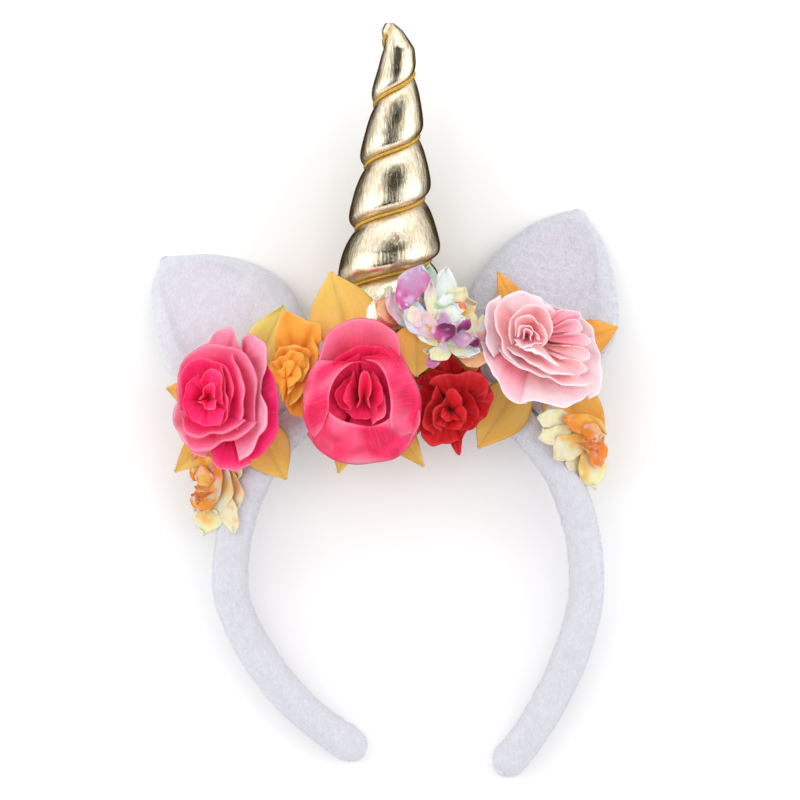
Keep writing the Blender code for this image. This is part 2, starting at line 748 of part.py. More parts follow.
def lie_down(pieces, resting, band_room, guides, normal, offset):
    """Turns the headband onto its back, flattens what it rests on, and centres it on the origin."""
    frame = bpy.data.objects.new("lying_frame", None)
    bpy.context.scene.collection.objects.link(frame)
    turned = Vector(normal).rotation_difference(Vector((0.0, 0.0, 1.0)))
    frame.rotation_euler = turned.to_euler()
    frame.location.z = -offset - REST_PRESS
    for piece in [*pieces, band_room]:
        piece.parent = frame
    floor = bmesh.new()
    bmesh.ops.create_cube(floor, size=1.0, matrix=Matrix.Translation((0.0, 0.0, -0.5)))
    slab = object_of("floor_room", floor, guides)
    hide_guide(slab)
    for piece in resting:
        boolean(piece, slab, "DIFFERENCE")
    corners = np.array([point for piece in pieces for point in mesh_points(piece)[0]])
    middle = (corners.min(axis=0) + corners.max(axis=0)) / 2
    frame.location.x -= middle[0]
    frame.location.y -= middle[1]


def carrier(piece):
    """A search tree of a piece as it stands, for the next pieces to be seated on."""
    points, _, faces = mesh_points(piece)
    return solid_of(points, faces)


def make_leaf(leaf, group, look, carriers):
    """A leaf that starts beside the middle of its flower and lies on what is under it."""
    made = leaf_shape(leaf, group)
    flower = next(flower for flower in FLOWERS if flower["name"] == leaf["of"])
    wide, high, _ = SIZES[leaf["of"]]
    way = direction(leaf["points"])
    start = Vector((way.x * wide, way.y * high, 0.0)) * leaf["start"] / 2
    made.location = flower_place(flower) + start
    turned = Matrix.Rotation(math.radians(leaf["points"]), 4, "Z")
    lifted = Matrix.Rotation(math.radians(-leaf["lift"]), 4, "Y")
    made.rotation_euler = (turned @ lifted).to_euler()
    finish(made, look)
    seat(made, carriers)
    carriers.append(carrier(made))
    return made


def make_flower(flower, group, guides, look, carriers):
    """A flower on what is under it, with its stalk lengthened to reach that."""
    made = flower_shape(flower, group, guides)
    made.location = flower_place(flower)
    tipped = tilted(flower["tilt"], flower["toward"])
    turned = Matrix.Rotation(math.radians(flower["turn"]), 4, "Z")
    made.rotation_euler = (tipped @ turned).to_euler()
    finish(made, look)
    seat(made, carriers)
    bpy.context.view_layer.update()
    reach_down(guides.objects[flower["name"] + "_core"], carriers, SIZES[flower["name"]][2])
    carriers.append(carrier(made))
    return made


def make_stamens(blossom, group, guides, look, carriers):
    """A tuft set into a blossom along the way that the blossom faces."""
    made = stamen_shape(blossom.name.replace("blossom", "stamens"), group, guides)
    made.location = blossom.location
    made.rotation_euler = blossom.rotation_euler
    finish(made, look)
    seat(made, carriers, blossom.matrix_world.to_3x3() @ Vector((0.0, 0.0, -1.0)))
    carriers.append(carrier(made))
    return made


def main():
    clear_scene()
    group = collection_for("unicorn_horn_headband")
    guides = collection_for("cutters")
    looks = {name: material(name) for name in COLOURS}

    band = band_shape("band", group)
    horn = horn_shape("horn", group)
    cord = cord_shape("horn_cord", group)
    band_room = band_shape("band_room", guides, grow=CLEARANCE)
    hide_guide(band_room)
    boolean(horn, band_room, "DIFFERENCE")
    band_points = np.array(mesh_points(band)[0])
    left_half = band_points[band_points[:, 0] < 0]
    right_half = band_points[band_points[:, 0] > 0]
    normal, offset = floor_under([np.array(mesh_points(horn)[0]), left_half, right_half])
    ears = [ear_shape(name, group, normal, offset) for name in EARS]
    for piece in (band, *ears):
        finish(piece, looks["plush"])
    finish(horn, looks["gold_lame"])
    cord.data.materials.append(looks["gold_cord"])

    pieces = [band, horn, cord, *ears]
    carriers = [carrier(piece) for piece in pieces]
    for leaf in LEAVES:
        pieces.append(make_leaf(leaf, group, looks["leaf"], carriers))
    for flower in FLOWERS:
        look = looks[flower["name"] if flower["name"] in looks else flower["whorls"]]
        made = make_flower(flower, group, guides, look, carriers)
        pieces.append(made)
        if flower["whorls"] == "blossom":
            pieces.append(make_stamens(made, group, guides, looks["stamens"], carriers))
    lie_down(pieces, [band, horn, *ears], band_room, guides, normal, offset)


main()
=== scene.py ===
import math

import bmesh
import bpy
import numpy as np
from mathutils import Matrix, Vector, noise


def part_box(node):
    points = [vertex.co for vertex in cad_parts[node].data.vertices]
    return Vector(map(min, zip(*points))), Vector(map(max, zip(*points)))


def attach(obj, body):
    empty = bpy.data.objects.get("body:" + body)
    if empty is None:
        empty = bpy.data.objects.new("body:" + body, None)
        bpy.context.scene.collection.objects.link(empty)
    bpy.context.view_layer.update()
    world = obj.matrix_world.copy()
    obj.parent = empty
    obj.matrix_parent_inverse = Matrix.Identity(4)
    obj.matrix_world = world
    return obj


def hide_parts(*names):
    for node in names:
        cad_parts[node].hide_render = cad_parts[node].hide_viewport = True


# Everything is made in the worn frame first, in metres: X right, Y up to the horn's tip and Z to the
# flowers, from the middle of the band's oval. The lying frame of the CAD is that frame laid on its back.
PHOTO_SCALE = 0.00038
PHOTO_MIDDLE = (408.5, 586.0)

# Band, horn and ears, as in the CAD. A limb is its drop below the oval's middle, its power and its reach
BAND_HALF_WIDTH = 0.0676
BAND_ARCH_HEIGHT = 0.0775
BAND_THICKNESS = 0.0128
BAND_DEPTH = 0.0150
BAND_END_ROUND = 0.0070
BAND_END_SHARES = (0.0, 0.10, 0.35, 0.70)
BAND_END_FULLNESS = 0.25
BAND_SQUARENESS = 2.4
ARCH_POWER = 2.15
LEFT_LIMB = (0.0683, 1.55, 0.925)
RIGHT_LIMB = (0.0912, 1.60, 0.775)
CAD_STATIONS = 36
CAD_BAND_SIDES = 10
CAD_HORN_SIDES = 12

HORN_AT = -5.0
HORN_HEIGHT = 0.1343
HORN_BASE_RADIUS = 0.0191
HORN_SINK = 0.0040
HORN_LEAN = 0.0036
HORN_HOOK = 0.0036
LEAN_POWER = 1.8
HOOK_FROM_SHARE = 0.925
HOOK_POWER = 1.2
CORD_DIAMETER = 0.0019
CORD_PITCH = 0.0236
CORD_TURN_AT_LEFT = 0.0326
CORD_TOP_SHARE = 0.965
CORD_FOOT_SHARE = 0.13
# Horn: its radius up its height, and round one lobe from cord to cord, in the CAD and in finer cloth
HORN_SECTIONS = (
    (0.00, 0.86), (0.07, 0.97), (0.20, 1.03), (0.35, 0.94), (0.50, 0.75), (0.60, 0.66),
    (0.70, 0.55), (0.80, 0.46), (0.87, 0.37), (0.93, 0.31), (0.98, 0.20), (1.00, 0.08),
)
LOBE_SECTIONS = (
    (0.00, 0.860), (0.08, 0.870), (0.30, 0.985), (0.66, 1.045), (0.84, 1.020), (0.93, 0.870),
    (1.00, 0.860),
)
FINE_LOBE = (
    (0.00, 0.790), (0.04, 0.815), (0.12, 0.900), (0.24, 0.975), (0.40, 1.030), (0.58, 1.065),
    (0.74, 1.070), (0.85, 1.035), (0.92, 0.955), (0.96, 0.865), (1.00, 0.790),
)

EAR_THICKNESS = 0.0090
EAR_HOLLOW = 0.0030
EAR_HOLLOW_REACH = 0.72
EAR_BEND_POWER = 1.2
EAR_SIDE_POWER = 3
EAR_TOP_POWER = 5
EAR_RIM_SHARE = 0.17
EAR_TIP = (0.90, 0.10)
EAR_SEAT_REACH = 0.16
EAR_HOLLOW_TOP, EAR_HOLLOW_FADE = 0.93, 0.14
# An outline row is a share of the ear's length, and its left and right edge in widths
EARS = {
    "ear_left": dict(
        outline=((0.20, -0.40, 0.52), (0.42, -0.47, 0.59), (0.60, -0.45, 0.56), (0.75, -0.38, 0.44),
                 (0.87, -0.30, 0.26), (0.95, -0.21, 0.08), (1.00, -0.14, -0.04)),
        length=0.0750, width=0.0530, at=-42.0, spread=11.0, points=121.0, turn=12.0, seed=3,
    ),
    "ear_right": dict(
        outline=((0.20, -0.46, 0.40), (0.40, -0.53, 0.47), (0.55, -0.50, 0.45), (0.69, -0.42, 0.37),
                 (0.83, -0.30, 0.26), (0.94, -0.15, 0.13), (1.00, -0.05, 0.05)),
        length=0.0760, width=0.0575, at=33.0, spread=12.0, points=72.0, turn=-6.0, seed=8,
    ),
}
CLEARANCE = 0.0003
REST_PRESS = 0.0004

# How finely the covers are made, as (rows, columns), and how near to each other points are merged
BAND_MESH = (300, 44)
BAND_MESH_END_SHARES = (0.0, 0.04, 0.10, 0.2, 0.35, 0.52, 0.70, 0.86)
EAR_MESH = (84, 60)
EAR_TRIAL_MESH = (20, 10)
EAR_TRIALS = 30
EAR_BLUNT = 0.9
EAR_MERGE = 0.00002
HORN_MESH = (40, 120)
HORN_LOBE_STEPS = 400
HORN_MERGE = 0.00003
HORN_PLEATS = 34
GATHER_BELOW_CORD, GATHER_ABOVE_CORD = 0.20, 0.16

# Cord: its path's points and twist, and in diameters how far it lies out of the groove and how thick and how
# far off its middle the strands are
CORD_STEPS = 620
CORD_STRANDS = 3
CORD_TWIST_LENGTH = 0.0042
CORD_OUT, STRAND_THICK, STRAND_OFF = 0.36, 0.19, 0.18
THREAD_RADIUS, BEAD_RADIUS = 0.00032, 0.00075

# Cloth: thickness, how far apart sheets are cut, and the first seeds of the petals' and leaves' folds and dyes
PETAL_THICKNESS = 0.00035
LEAF_THICKNESS = 0.0004
CUT_SPACING = 0.013
OVAL_SEED, PETAL_SEED, PETAL_DYE_SEED = 500, 900, 300
LEAF_SEED, LEAF_DYE_SEED, HANGING_LEAF_NUMBER = 70, 170, 50
SEEDS_PER_FLOWER = 40

# The cup of cloth under a flower: its foot as a share of the flower's reach, its core as such shares with
# their heights, and for roses and the others the height of its rim, its reach and how high its core is
CUP_FOOT = 0.26
CUP_SUNK = 0.06
# The core closes the cup as a sheet in painted shade, seen through gaps between the petals
CUP_CORE = ((0.04, 0.50), (0.14, 0.42), (0.24, 0.22), (0.30, 0.02))
ROSE_CUP, SMALL_CUP = (0.26, 0.84, 1.0), (0.16, 0.72, 0.5)

# How far things are sunk or stand off: a flower's seat under its CAD node's front and depth, a leaf's top
# under its own node's, a leaf's stem under its flower's seat, and the horn's cloth before and behind the band
SEAT_SUNK = 0.0005
LEAF_SUNK = 0.0006
STEM_SUNK = 0.0004
HORN_BESIDE_BAND = 0.0004

# Flowers, as in the CAD: where each sits on the band, how far out in the band's thickness, its tilt, the way
# it tilts and its depth, and the width and height that its leaves are placed by
SEATS = {
    "rose_left": dict(at=-45.0, out=1.50, tilt=26, toward=160, deep=0.0230),
    "rose_centre": dict(at=-13.8, out=0.15, tilt=6, toward=290, deep=0.0240),
    "rose_orange": dict(at=-27.5, out=1.35, tilt=6, toward=120, deep=0.0120),
    "rose_red": dict(at=14.3, out=-0.35, tilt=8, toward=280, deep=0.0150),
    "rose_blush": dict(at=30.8, out=1.92, tilt=22, toward=65, deep=0.0210),
    "hydrangea": dict(at=6.0, out=1.98, tilt=24, toward=70, deep=0.0130),
    "blossom_left": dict(at=-66.0, out=0.70, tilt=34, toward=195, deep=0.0110),
    "blossom_right": dict(at=50.0, out=0.70, tilt=34, toward=330, deep=0.0110),
}
SIZES = {
    "rose_left": (0.0460, 0.0570), "rose_centre": (0.0465, 0.0600), "rose_orange": (0.0290, 0.0440),
    "rose_red": (0.0310, 0.0385), "rose_blush": (0.0530, 0.0490), "hydrangea": (0.0430, 0.0420),
}

# Petals, from the outermost in. A row is the tone of its dye, how far its rim rolls out in lips, how late the
# petal rises on its way to the rim, where it springs from and then the places of its rim. A place is given
# across the photo, with its height as a share of the flower's depth. A wrapped petal is seen from outside
# and has two lines instead, its hem at the flower's outline and its rim near the middle.
LIP = 0.0009
LIP_TURN = 46
SMALL_PETAL_PLACES = 5
SMALL_PETAL_COLUMNS, PETAL_COLUMNS = 16, 28
PETALS = {
    "rose_left": (
        ("edge", 1.0, 1.7, (230, 430, .12), (211, 452, .35), (217, 466, .38), (231, 473, .38), (243, 470, .38),
            (252, 461, .35)),
        ("deep", 1.2, 1.7, (236, 410, .08), (262, 362, .38), (275, 378, .42), (282, 402, .42), (281, 424, .42),
            (271, 444, .42), (257, 459, .42), (240, 465, .40)),
        ("pale", 0.8, 1.7, (218, 385, .12), (203, 346, .40), (212, 335, .42), (223, 329, .42), (234, 331, .42),
            (242, 347, .40)),
        ("pale", 1.6, 1.7, (228, 385, .15), (243, 350, .50), (245, 336, .53), (252, 331, .55), (262, 338, .55),
            (268, 352, .55), (269, 370, .53), (264, 388, .50), (262, 400, .48)),
        ("pale", 2.0, 1.7, (230, 412, .15), (261, 386, .50), (268, 404, .53), (270, 424, .53), (263, 442, .53),
            (252, 455, .52), (240, 459, .50)),
        ("pale", 1.6, 1.7, (208, 415, .15), (180, 396, .48), (174, 412, .51), (175, 430, .52), (183, 444, .52),
            (193, 454, .52), (207, 457, .48)),
        ("rim", 1.8, 2.4, (212, 398, .20), (178, 412, .60), (177, 388, .63), (182, 364, .65), (192, 350, .66),
            (208, 342, .66), (228, 342, .66), (246, 351, .64), (256, 370, .62), (260, 398, .60),
            (258, 430, .56)),
        ("rim", 2.4, 2.4, (216, 410, .22), (183, 438, .60), (194, 451, .63), (212, 453, .66), (230, 446, .66),
            (246, 436, .64), (258, 422, .58)),
        ("edge", 1.8, 2.0, (214, 400, .25), (234, 350, .68), (242, 370, .73), (247, 394, .74), (248, 414, .73),
            (240, 432, .70)),
        ("edge", 2.4, 2.2, (212, 405, .28), (181, 418, .74), (186, 433, .78), (198, 441, .80), (215, 440, .80),
            (232, 433, .78), (247, 420, .72)),
        ("body", 1.3, 2.4, (208, 398, .30), (180, 404, .76), (181, 380, .80), (188, 363, .83), (202, 356, .83),
            (217, 357, .83), (229, 366, .81), (234, 386, .78), (232, 412, .74)),
        ("body", 1.2, 1.7, (210, 400, .35), (222, 366, .80), (228, 380, .84), (231, 398, .85), (229, 416, .84),
            (221, 428, .82)),
        ("deep", 1.0, 1.7, (206, 400, .40), (192, 420, .86), (184, 407, .88), (183, 391, .89), (190, 379, .89),
            (201, 376, .87)),
        ("body", 0.9, 1.7, (211, 398, .45), (200, 380, .90), (206, 371, .92), (217, 370, .93), (224, 378, .92),
            (226, 392, .90), (224, 405, .88)),
        ("deep", 1.2, 1.7, (209, 401, .45), (189, 410, .90), (196, 423, .92), (209, 430, .93), (221, 424, .92),
            (226, 410, .90)),
        ("body", 0.6, 1.7, (209, 397, .60), (200, 400, .96), (203, 389, .98), (211, 384, .99), (217, 389, .98),
            (218, 399, .97)),
        ("body", 0.7, 1.7, (210, 399, .60), (199, 402, .95), (206, 410, .97), (215, 408, .97), (220, 400, .96)),
    ),
    "rose_centre": (
        ("pale", 2.0, 2.4, (362, 395, .12), (318, 378, .50), (317, 358, .55), (323, 341, .60), (335, 326, .62),
            (350, 319, .64), (363, 315, .64), (378, 318, .64), (391, 326, .62), (399, 342, .58),
            (401, 358, .52)),
        ("pale", 1.8, 1.7, (350, 405, .10), (318, 376, .42), (308, 386, .46), (304, 402, .48), (306, 420, .48),
            (312, 433, .46), (322, 440, .42)),
        ("edge", 1.4, 1.7, (370, 405, .10), (398, 346, .45), (409, 370, .48), (419, 390, .50), (422, 408, .50),
            (418, 426, .50), (409, 441, .46)),
        ("deep", 1.3, 2.4, (362, 402, .22), (326, 394, .66), (328, 374, .70), (338, 357, .74), (352, 347, .76),
            (368, 342, .77), (383, 346, .76), (394, 360, .72), (400, 380, .66)),
        ("wrapped", ((308, 434, .32), (319, 449, .30), (336, 460, .30), (356, 464, .30), (376, 462, .30),
            (395, 458, .30), (409, 446, .32), (417, 430, .34)),
         ((322, 398, .70), (330, 412, .77), (342, 420, .80), (356, 424, .81), (370, 426, .81), (382, 423, .80),
             (391, 416, .78), (398, 404, .74))),
        ("wrapped", ((397, 346, .50), (410, 371, .44), (419, 391, .40), (421, 409, .40), (417, 427, .40),
            (406, 441, .46)),
         ((366, 360, .85), (377, 364, .88), (385, 375, .89), (389, 390, .88), (391, 406, .86), (390, 422, .80),
             (397, 438, .58))),
        ("wrapped", ((317, 360, .52), (308, 378, .46), (304, 396, .44), (304, 414, .42), (308, 428, .44),
            (315, 438, .48)),
         ((369, 364, .87), (357, 362, .89), (345, 368, .90), (335, 380, .90), (330, 394, .89), (329, 410, .84),
             (322, 430, .60))),
        ("deep", 0.5, 1.7, (358, 396, .34), (360, 356, .80), (344, 363, .80), (332, 376, .80), (326, 394, .79),
            (328, 412, .77), (344, 422, .74)),
        ("deep", 0.5, 1.7, (364, 398, .34), (360, 355, .80), (378, 358, .80), (389, 372, .80), (394, 390, .79),
            (395, 408, .77), (386, 424, .74), (366, 430, .72), (348, 424, .72)),
        ("deep", 0.7, 1.7, (358, 398, .44), (354, 370, .78), (344, 380, .82), (337, 393, .83), (338, 406, .80),
            (350, 414, .76)),
        ("deep", 0.7, 1.7, (364, 398, .40), (344, 410, .72), (356, 418, .76), (368, 421, .77), (380, 417, .74)),
        ("edge", 0.8, 1.7, (364, 392, .42), (373, 372, .80), (382, 384, .84), (387, 400, .85), (384, 414, .84),
            (373, 425, .80)),
        ("deep", 0.8, 1.7, (358, 396, .48), (354, 370, .94), (347, 384, .95), (345, 398, .94), (350, 412, .92)),
        ("deep", 0.8, 1.7, (368, 396, .48), (374, 371, .94), (381, 385, .95), (383, 401, .94), (377, 414, .92)),
        ("body", 0.7, 1.7, (364, 400, .60), (357, 408, .95), (358, 390, .98), (362, 374, .99), (369, 374, .99),
            (372, 390, .98), (371, 408, .95)),
    ),
    "rose_red": (
        ("body", 0.5, 1.7, (452, 392, .12), (436, 374, .40), (442, 362, .44), (449, 352, .46), (456, 359, .44),
            (463, 369, .40)),
        ("deep", 0.8, 1.7, (444, 398, .12), (414, 382, .42), (422, 372, .46), (434, 370, .48), (447, 373, .48)),
        ("body", 0.8, 1.7, (442, 405, .12), (425, 374, .45), (418, 390, .48), (420, 408, .50), (419, 424, .50),
            (415, 437, .46)),
        ("deep", 1.0, 1.7, (455, 400, .12), (480, 366, .50), (488, 380, .55), (492, 393, .56), (490, 408, .55),
            (485, 420, .52), (475, 429, .48), (464, 432, .45)),
        ("body", 0.5, 1.7, (452, 414, .12), (444, 438, .44), (452, 448, .48), (459, 455, .50), (461, 445, .48),
            (467, 431, .45)),
        ("edge", 1.6, 1.7, (445, 410, .15), (417, 420, .55), (421, 436, .60), (430, 445, .62), (440, 448, .62),
            (450, 446, .60), (459, 439, .55)),
        ("edge", 1.8, 2.6, (458, 404, .18), (429, 384, .60), (438, 374, .68), (452, 370, .70), (468, 369, .72),
            (482, 373, .70), (490, 386, .64), (487, 398, .58)),
        ("body", 1.2, 1.7, (446, 408, .22), (436, 384, .72), (428, 398, .76), (423, 413, .78), (424, 428, .76),
            (433, 437, .72)),
        ("deep", 0.9, 1.7, (457, 406, .22), (466, 386, .68), (476, 398, .72), (478, 412, .72), (471, 426, .70),
            (460, 434, .66)),
        ("edge", 1.4, 1.7, (450, 408, .28), (449, 387, .80), (440, 399, .84), (433, 410, .85), (432, 424, .83),
            (440, 434, .78)),
        ("deep", 0.9, 1.7, (451, 411, .35), (436, 422, .84), (445, 431, .87), (456, 430, .88), (465, 421, .86)),
        ("edge", 1.0, 1.0, (451, 411, .42), (445, 392, .90), (454, 390, .95), (463, 397, .98), (466, 409, .98),
            (465, 421, .94)),
        ("deep", 0.6, 1.7, (450, 408, .50), (440, 408, .90), (443, 418, .95), (451, 423, .96), (460, 420, .94)),
    ),
    "rose_blush": (
        ("pale", 1.4, 1.7, (525, 335, .12), (494, 306, .45), (503, 297, .50), (520, 292, .52), (536, 293, .52),
            (546, 300, .50), (554, 312, .46)),
        ("pale", 1.2, 1.7, (545, 340, .12), (543, 303, .40), (558, 308, .44), (572, 311, .45), (584, 317, .45),
            (591, 328, .44), (595, 345, .42)),
        ("pale", 1.2, 1.7, (550, 350, .10), (588, 333, .38), (596, 347, .40), (602, 360, .42), (603, 376, .42),
            (599, 390, .40), (588, 399, .38)),
        ("pale", 1.4, 1.7, (520, 335, .12), (500, 296, .45), (489, 303, .50), (483, 315, .52), (482, 330, .52),
            (486, 345, .50), (494, 357, .48)),
        ("rosy", 1.3, 1.7, (525, 345, .10), (480, 342, .42), (484, 357, .46), (489, 372, .48), (495, 384, .50),
            (503, 394, .50), (512, 401, .48), (526, 404, .46)),
        ("pale", 1.5, 1.7, (540, 350, .10), (512, 402, .44), (525, 404, .48), (540, 404, .50), (556, 407, .50),
            (572, 406, .50), (585, 401, .48), (593, 391, .44)),
        ("rosy", 0.7, 1.7, (540, 330, .30), (550, 310, .58), (562, 309, .62), (574, 312, .63), (581, 318, .61),
            (573, 323, .58)),
        ("rosy", 0.7, 1.7, (542, 334, .32), (564, 321, .58), (577, 320, .63), (584, 327, .63), (576, 334, .59)),
        ("rosy", 0.7, 1.7, (542, 339, .32), (564, 334, .58), (579, 333, .63), (589, 340, .63), (582, 348, .59)),
        ("body", 0.7, 1.7, (542, 345, .32), (562, 346, .58), (580, 347, .63), (589, 355, .62), (579, 364, .58)),
        ("body", 0.7, 1.7, (542, 350, .32), (560, 360, .56), (577, 361, .60), (586, 371, .60), (578, 378, .56)),
        ("warm", 1.5, 2.4, (524, 335, .20), (500, 301, .64), (494, 315, .68), (493, 330, .69), (498, 345, .68),
            (506, 357, .66), (521, 366, .62)),
        ("warm", 1.9, 2.2, (535, 345, .20), (495, 350, .58), (505, 362, .63), (520, 370, .66), (537, 377, .66),
            (553, 383, .66), (564, 388, .64), (577, 386, .60), (589, 383, .55)),
        ("warm", 2.0, 2.2, (535, 342, .25), (504, 348, .68), (513, 358, .74), (527, 366, .76), (543, 372, .76),
            (560, 377, .74), (577, 377, .68)),
        ("body", 1.3, 2.4, (528, 333, .30), (510, 346, .76), (508, 328, .80), (513, 312, .82), (523, 304, .83),
            (537, 303, .83), (547, 312, .81), (552, 326, .79), (551, 341, .74)),
        ("pale", 2.6, 1.6, (530, 338, .35), (513, 345, .82), (522, 352, .86), (534, 357, .86), (545, 361, .84),
            (558, 366, .76)),
        ("warm", 1.0, 1.7, (528, 333, .45), (513, 337, .90), (515, 322, .93), (524, 315, .94), (535, 316, .94),
            (543, 325, .93), (546, 338, .91), (541, 347, .88)),
        ("body", 1.0, 1.7, (528, 336, .45), (513, 340, .92), (520, 348, .95), (531, 349, .95), (541, 344, .92)),
        ("rosy", 0.7, 1.7, (527, 335, .50), (516, 338, .95), (519, 328, .98), (528, 324, .98), (536, 330, .98),
            (538, 341, .95)),
        ("warm", 0.4, 1.7, (526, 336, .60), (521, 341, .98), (521, 333, 1.0), (527, 330, 1.0), (532, 335, 1.0),
            (531, 342, .98)),
    ),
    "rose_orange": (
        ("deep", 0.8, 1.7, (297, 384, .15), (283, 396, .46), (290, 411, .50), (299, 419, .50), (308, 416, .48),
            (312, 400, .44)),
        ("edge", 0.8, 1.7, (297, 364, .15), (274, 350, .48), (279, 324, .54), (287, 310, .57), (298, 314, .57),
            (309, 320, .56), (319, 325, .54), (322, 342, .50)),
        ("edge", 1.3, 1.7, (294, 368, .20), (315, 338, .56), (318, 352, .60), (317, 370, .61), (310, 386, .61),
            (300, 398, .59), (289, 405, .54)),
        ("edge", 1.2, 1.7, (292, 373, .30), (272, 364, .60), (277, 352, .68), (286, 345, .73), (297, 343, .75),
            (307, 347, .74), (312, 357, .70)),
        ("edge", 1.1, 1.7, (290, 368, .35), (312, 352, .72), (310, 366, .78), (305, 378, .80), (297, 388, .80),
            (288, 396, .75)),
        ("body", 0.8, 1.0, (291, 368, .50), (271, 362, .68), (272, 376, .74), (277, 390, .76), (284, 402, .71)),
        ("body", 0.9, 1.2, (288, 378, .50), (273, 364, .78), (280, 356, .86), (289, 350, .90), (297, 351, .92),
            (304, 357, .90), (308, 367, .86)),
        ("body", 0.8, 1.2, (287, 374, .60), (300, 362, .92), (302, 373, .96), (297, 383, .96), (289, 392, .90)),
        ("body", 0.6, 1.0, (286, 380, .70), (278, 372, .92), (283, 364, .98), (290, 361, 1.0), (296, 366, .98)),
    ),
}

# Small oval petals: where one springs from on the photo, the way it points, its length and width across the
# photo, the height of its foot and tip as shares of the flower's depth, and its two dyes
OVALS = {
    "hydrangea": (
        (434, 322, 20, 44, 30, .04, .28, "frost", "cream"),
        (434, 322, 82, 46, 32, .04, .30, "frost", "frost"),
        (434, 320, 150, 40, 30, .04, .28, "frost", "blush"),
        (434, 324, 205, 28, 26, .04, .14, "frost", "frost"),
        (438, 330, 262, 28, 24, .04, .26, "frost", "lemon"),
        (440, 326, 318, 44, 30, .04, .28, "frost", "blush"),
        (398, 322, 138, 30, 17, .22, .40, "coral", "peach"),
        (402, 302, 146, 21, 14, .28, .38, "frost", "lemon"),
        (405, 326, 112, 36, 17, .34, .48, "frost", "blush"),
        (428, 300, 88, 34, 13, .30, .44, "frost", "green"),
        (440, 308, 78, 40, 19, .38, .52, "frost", "frost"),
        (448, 312, 56, 28, 19, .34, .46, "cream", "cream"),
        (478, 348, 84, 32, 13, .18, .30, "rose", "cream"),
        (471, 338, 104, 30, 15, .28, .40, "cream", "gold"),
        (461, 357, 350, 26, 15, .16, .28, "peach", "peach"),
        (442, 354, 215, 19, 13, .18, .30, "lilac", "orchid"),
        (451, 341, 226, 26, 17, .30, .42, "frost", "lemon"),
        (449, 344, 344, 30, 18, .34, .46, "lemon", "frost"),
        (437, 344, 150, 26, 10, .44, .54, "lemon", "frost"),
        (449, 319, 50, 22, 12, .50, .60, "frost", "coral"),
        (437, 324, 46, 27, 21, .52, .64, "lilac", "frost"),
        (431, 318, 90, 36, 12, .56, .68, "cream", "blush"),
        (436, 307, 28, 19, 10, .66, .74, "green", "frost"),
        (438, 334, 142, 42, 25, .54, .68, "blush", "sky"),
        (420, 326, 120, 20, 13, .68, .76, "blush", "cream"),
        (452, 334, 54, 20, 14, .58, .68, "lilac", "frost"),
        (458, 333, 50, 17, 9, .68, .76, "plum", "orchid"),
        (452, 338, 354, 20, 14, .60, .70, "lilac", "lilac"),
        (467, 338, 322, 14, 10, .50, .58, "plum", "plum"),
        (404, 308, 70, 44, 26, .70, .90, "orchid", "lilac"),
        (433, 329, 344, 23, 17, .76, .88, "orchid", "plum"),
    ),
    "blossom_right": (
        (584, 420, 200, 44, 22, .05, .30, "gold", "cream"),
        (568, 420, 172, 30, 18, .30, .46, "lemon", "cream"),
        (570, 428, 200, 32, 17, .38, .52, "lemon", "cream"),
        (584, 440, 262, 42, 22, .30, .40, "cream", "lemon"),
        (584, 436, 218, 36, 24, .42, .56, "gold", "cream"),
        (586, 440, 284, 48, 26, .44, .56, "gold", "lemon"),
        (566, 416, 334, 42, 20, .55, .74, "orange", "gold"),
        (588, 434, 294, 34, 19, .60, .76, "coral", "orange"),
        (580, 430, 350, 22, 16, .66, .84, "orange", "peach"),
    ),
    "blossom_left": (
        (226, 470, 280, 44, 22, .10, .26, "gold", "cream"),
        (228, 494, 277, 38, 16, .34, .52, "cream", "cream"),
        (218, 496, 252, 40, 25, .28, .38, "gold", "lemon"),
        (220, 464, 270, 48, 22, .32, .46, "gold", "cream"),
        (214, 472, 152, 25, 27, .40, .60, "gold", "orange"),
        (215, 462, 260, 50, 22, .50, .66, "orange", "gold"),
        (213, 488, 234, 28, 20, .56, .72, "gold", "orange"),
        (214, 478, 178, 18, 18, .60, .78, "orange", "gold"),
    ),
}

# Colours, linear, as (foot, body, rim) for the roses and by name for the dyed petals. A tone is two shares of
# a petal's height: the body's colour is reached at the first, and the rim's starts midway between the two.
# Petals of two tones take less of the rim's colour, and the left rose's pale petals are paler at the rim
# A rose's foot colour is partly its dye and partly painted shade, deeper where its petals go down into the
# flower
ROSE_DYES = {
    "rose_left": ((0.66, 0.002, 0.045), (1.00, 0.026, 0.19), (0.92, 0.36, 0.52)),
    "rose_centre": ((0.44, 0.001, 0.018), (0.96, 0.018, 0.125), (0.90, 0.29, 0.42)),
    "rose_red": ((0.20, 0.000, 0.002), (0.66, 0.008, 0.014), (0.80, 0.040, 0.050)),
    "rose_blush": ((1.00, 0.30, 0.25), (1.00, 0.50, 0.52), (0.93, 0.85, 0.91)),
    "rose_orange": ((0.84, 0.19, 0.012), (0.98, 0.38, 0.045), (0.98, 0.58, 0.14)),
}
TONES = {
    "deep": (0.55, 1.16), "edge": (0.28, 0.92), "pale": (0.08, 0.50), "body": (0.32, 1.06),
    "rosy": (0.16, 1.10), "warm": (0.75, 1.15), "rim": (0.20, 0.74),
}
RIM_SHARES = {"deep": 0.3, "body": 0.45}
CUP_DYES = {"hydrangea": "green", "blossom_left": "lemon", "blossom_right": "lemon"}
PALE_RIM = (0.84, 0.60, 0.70)
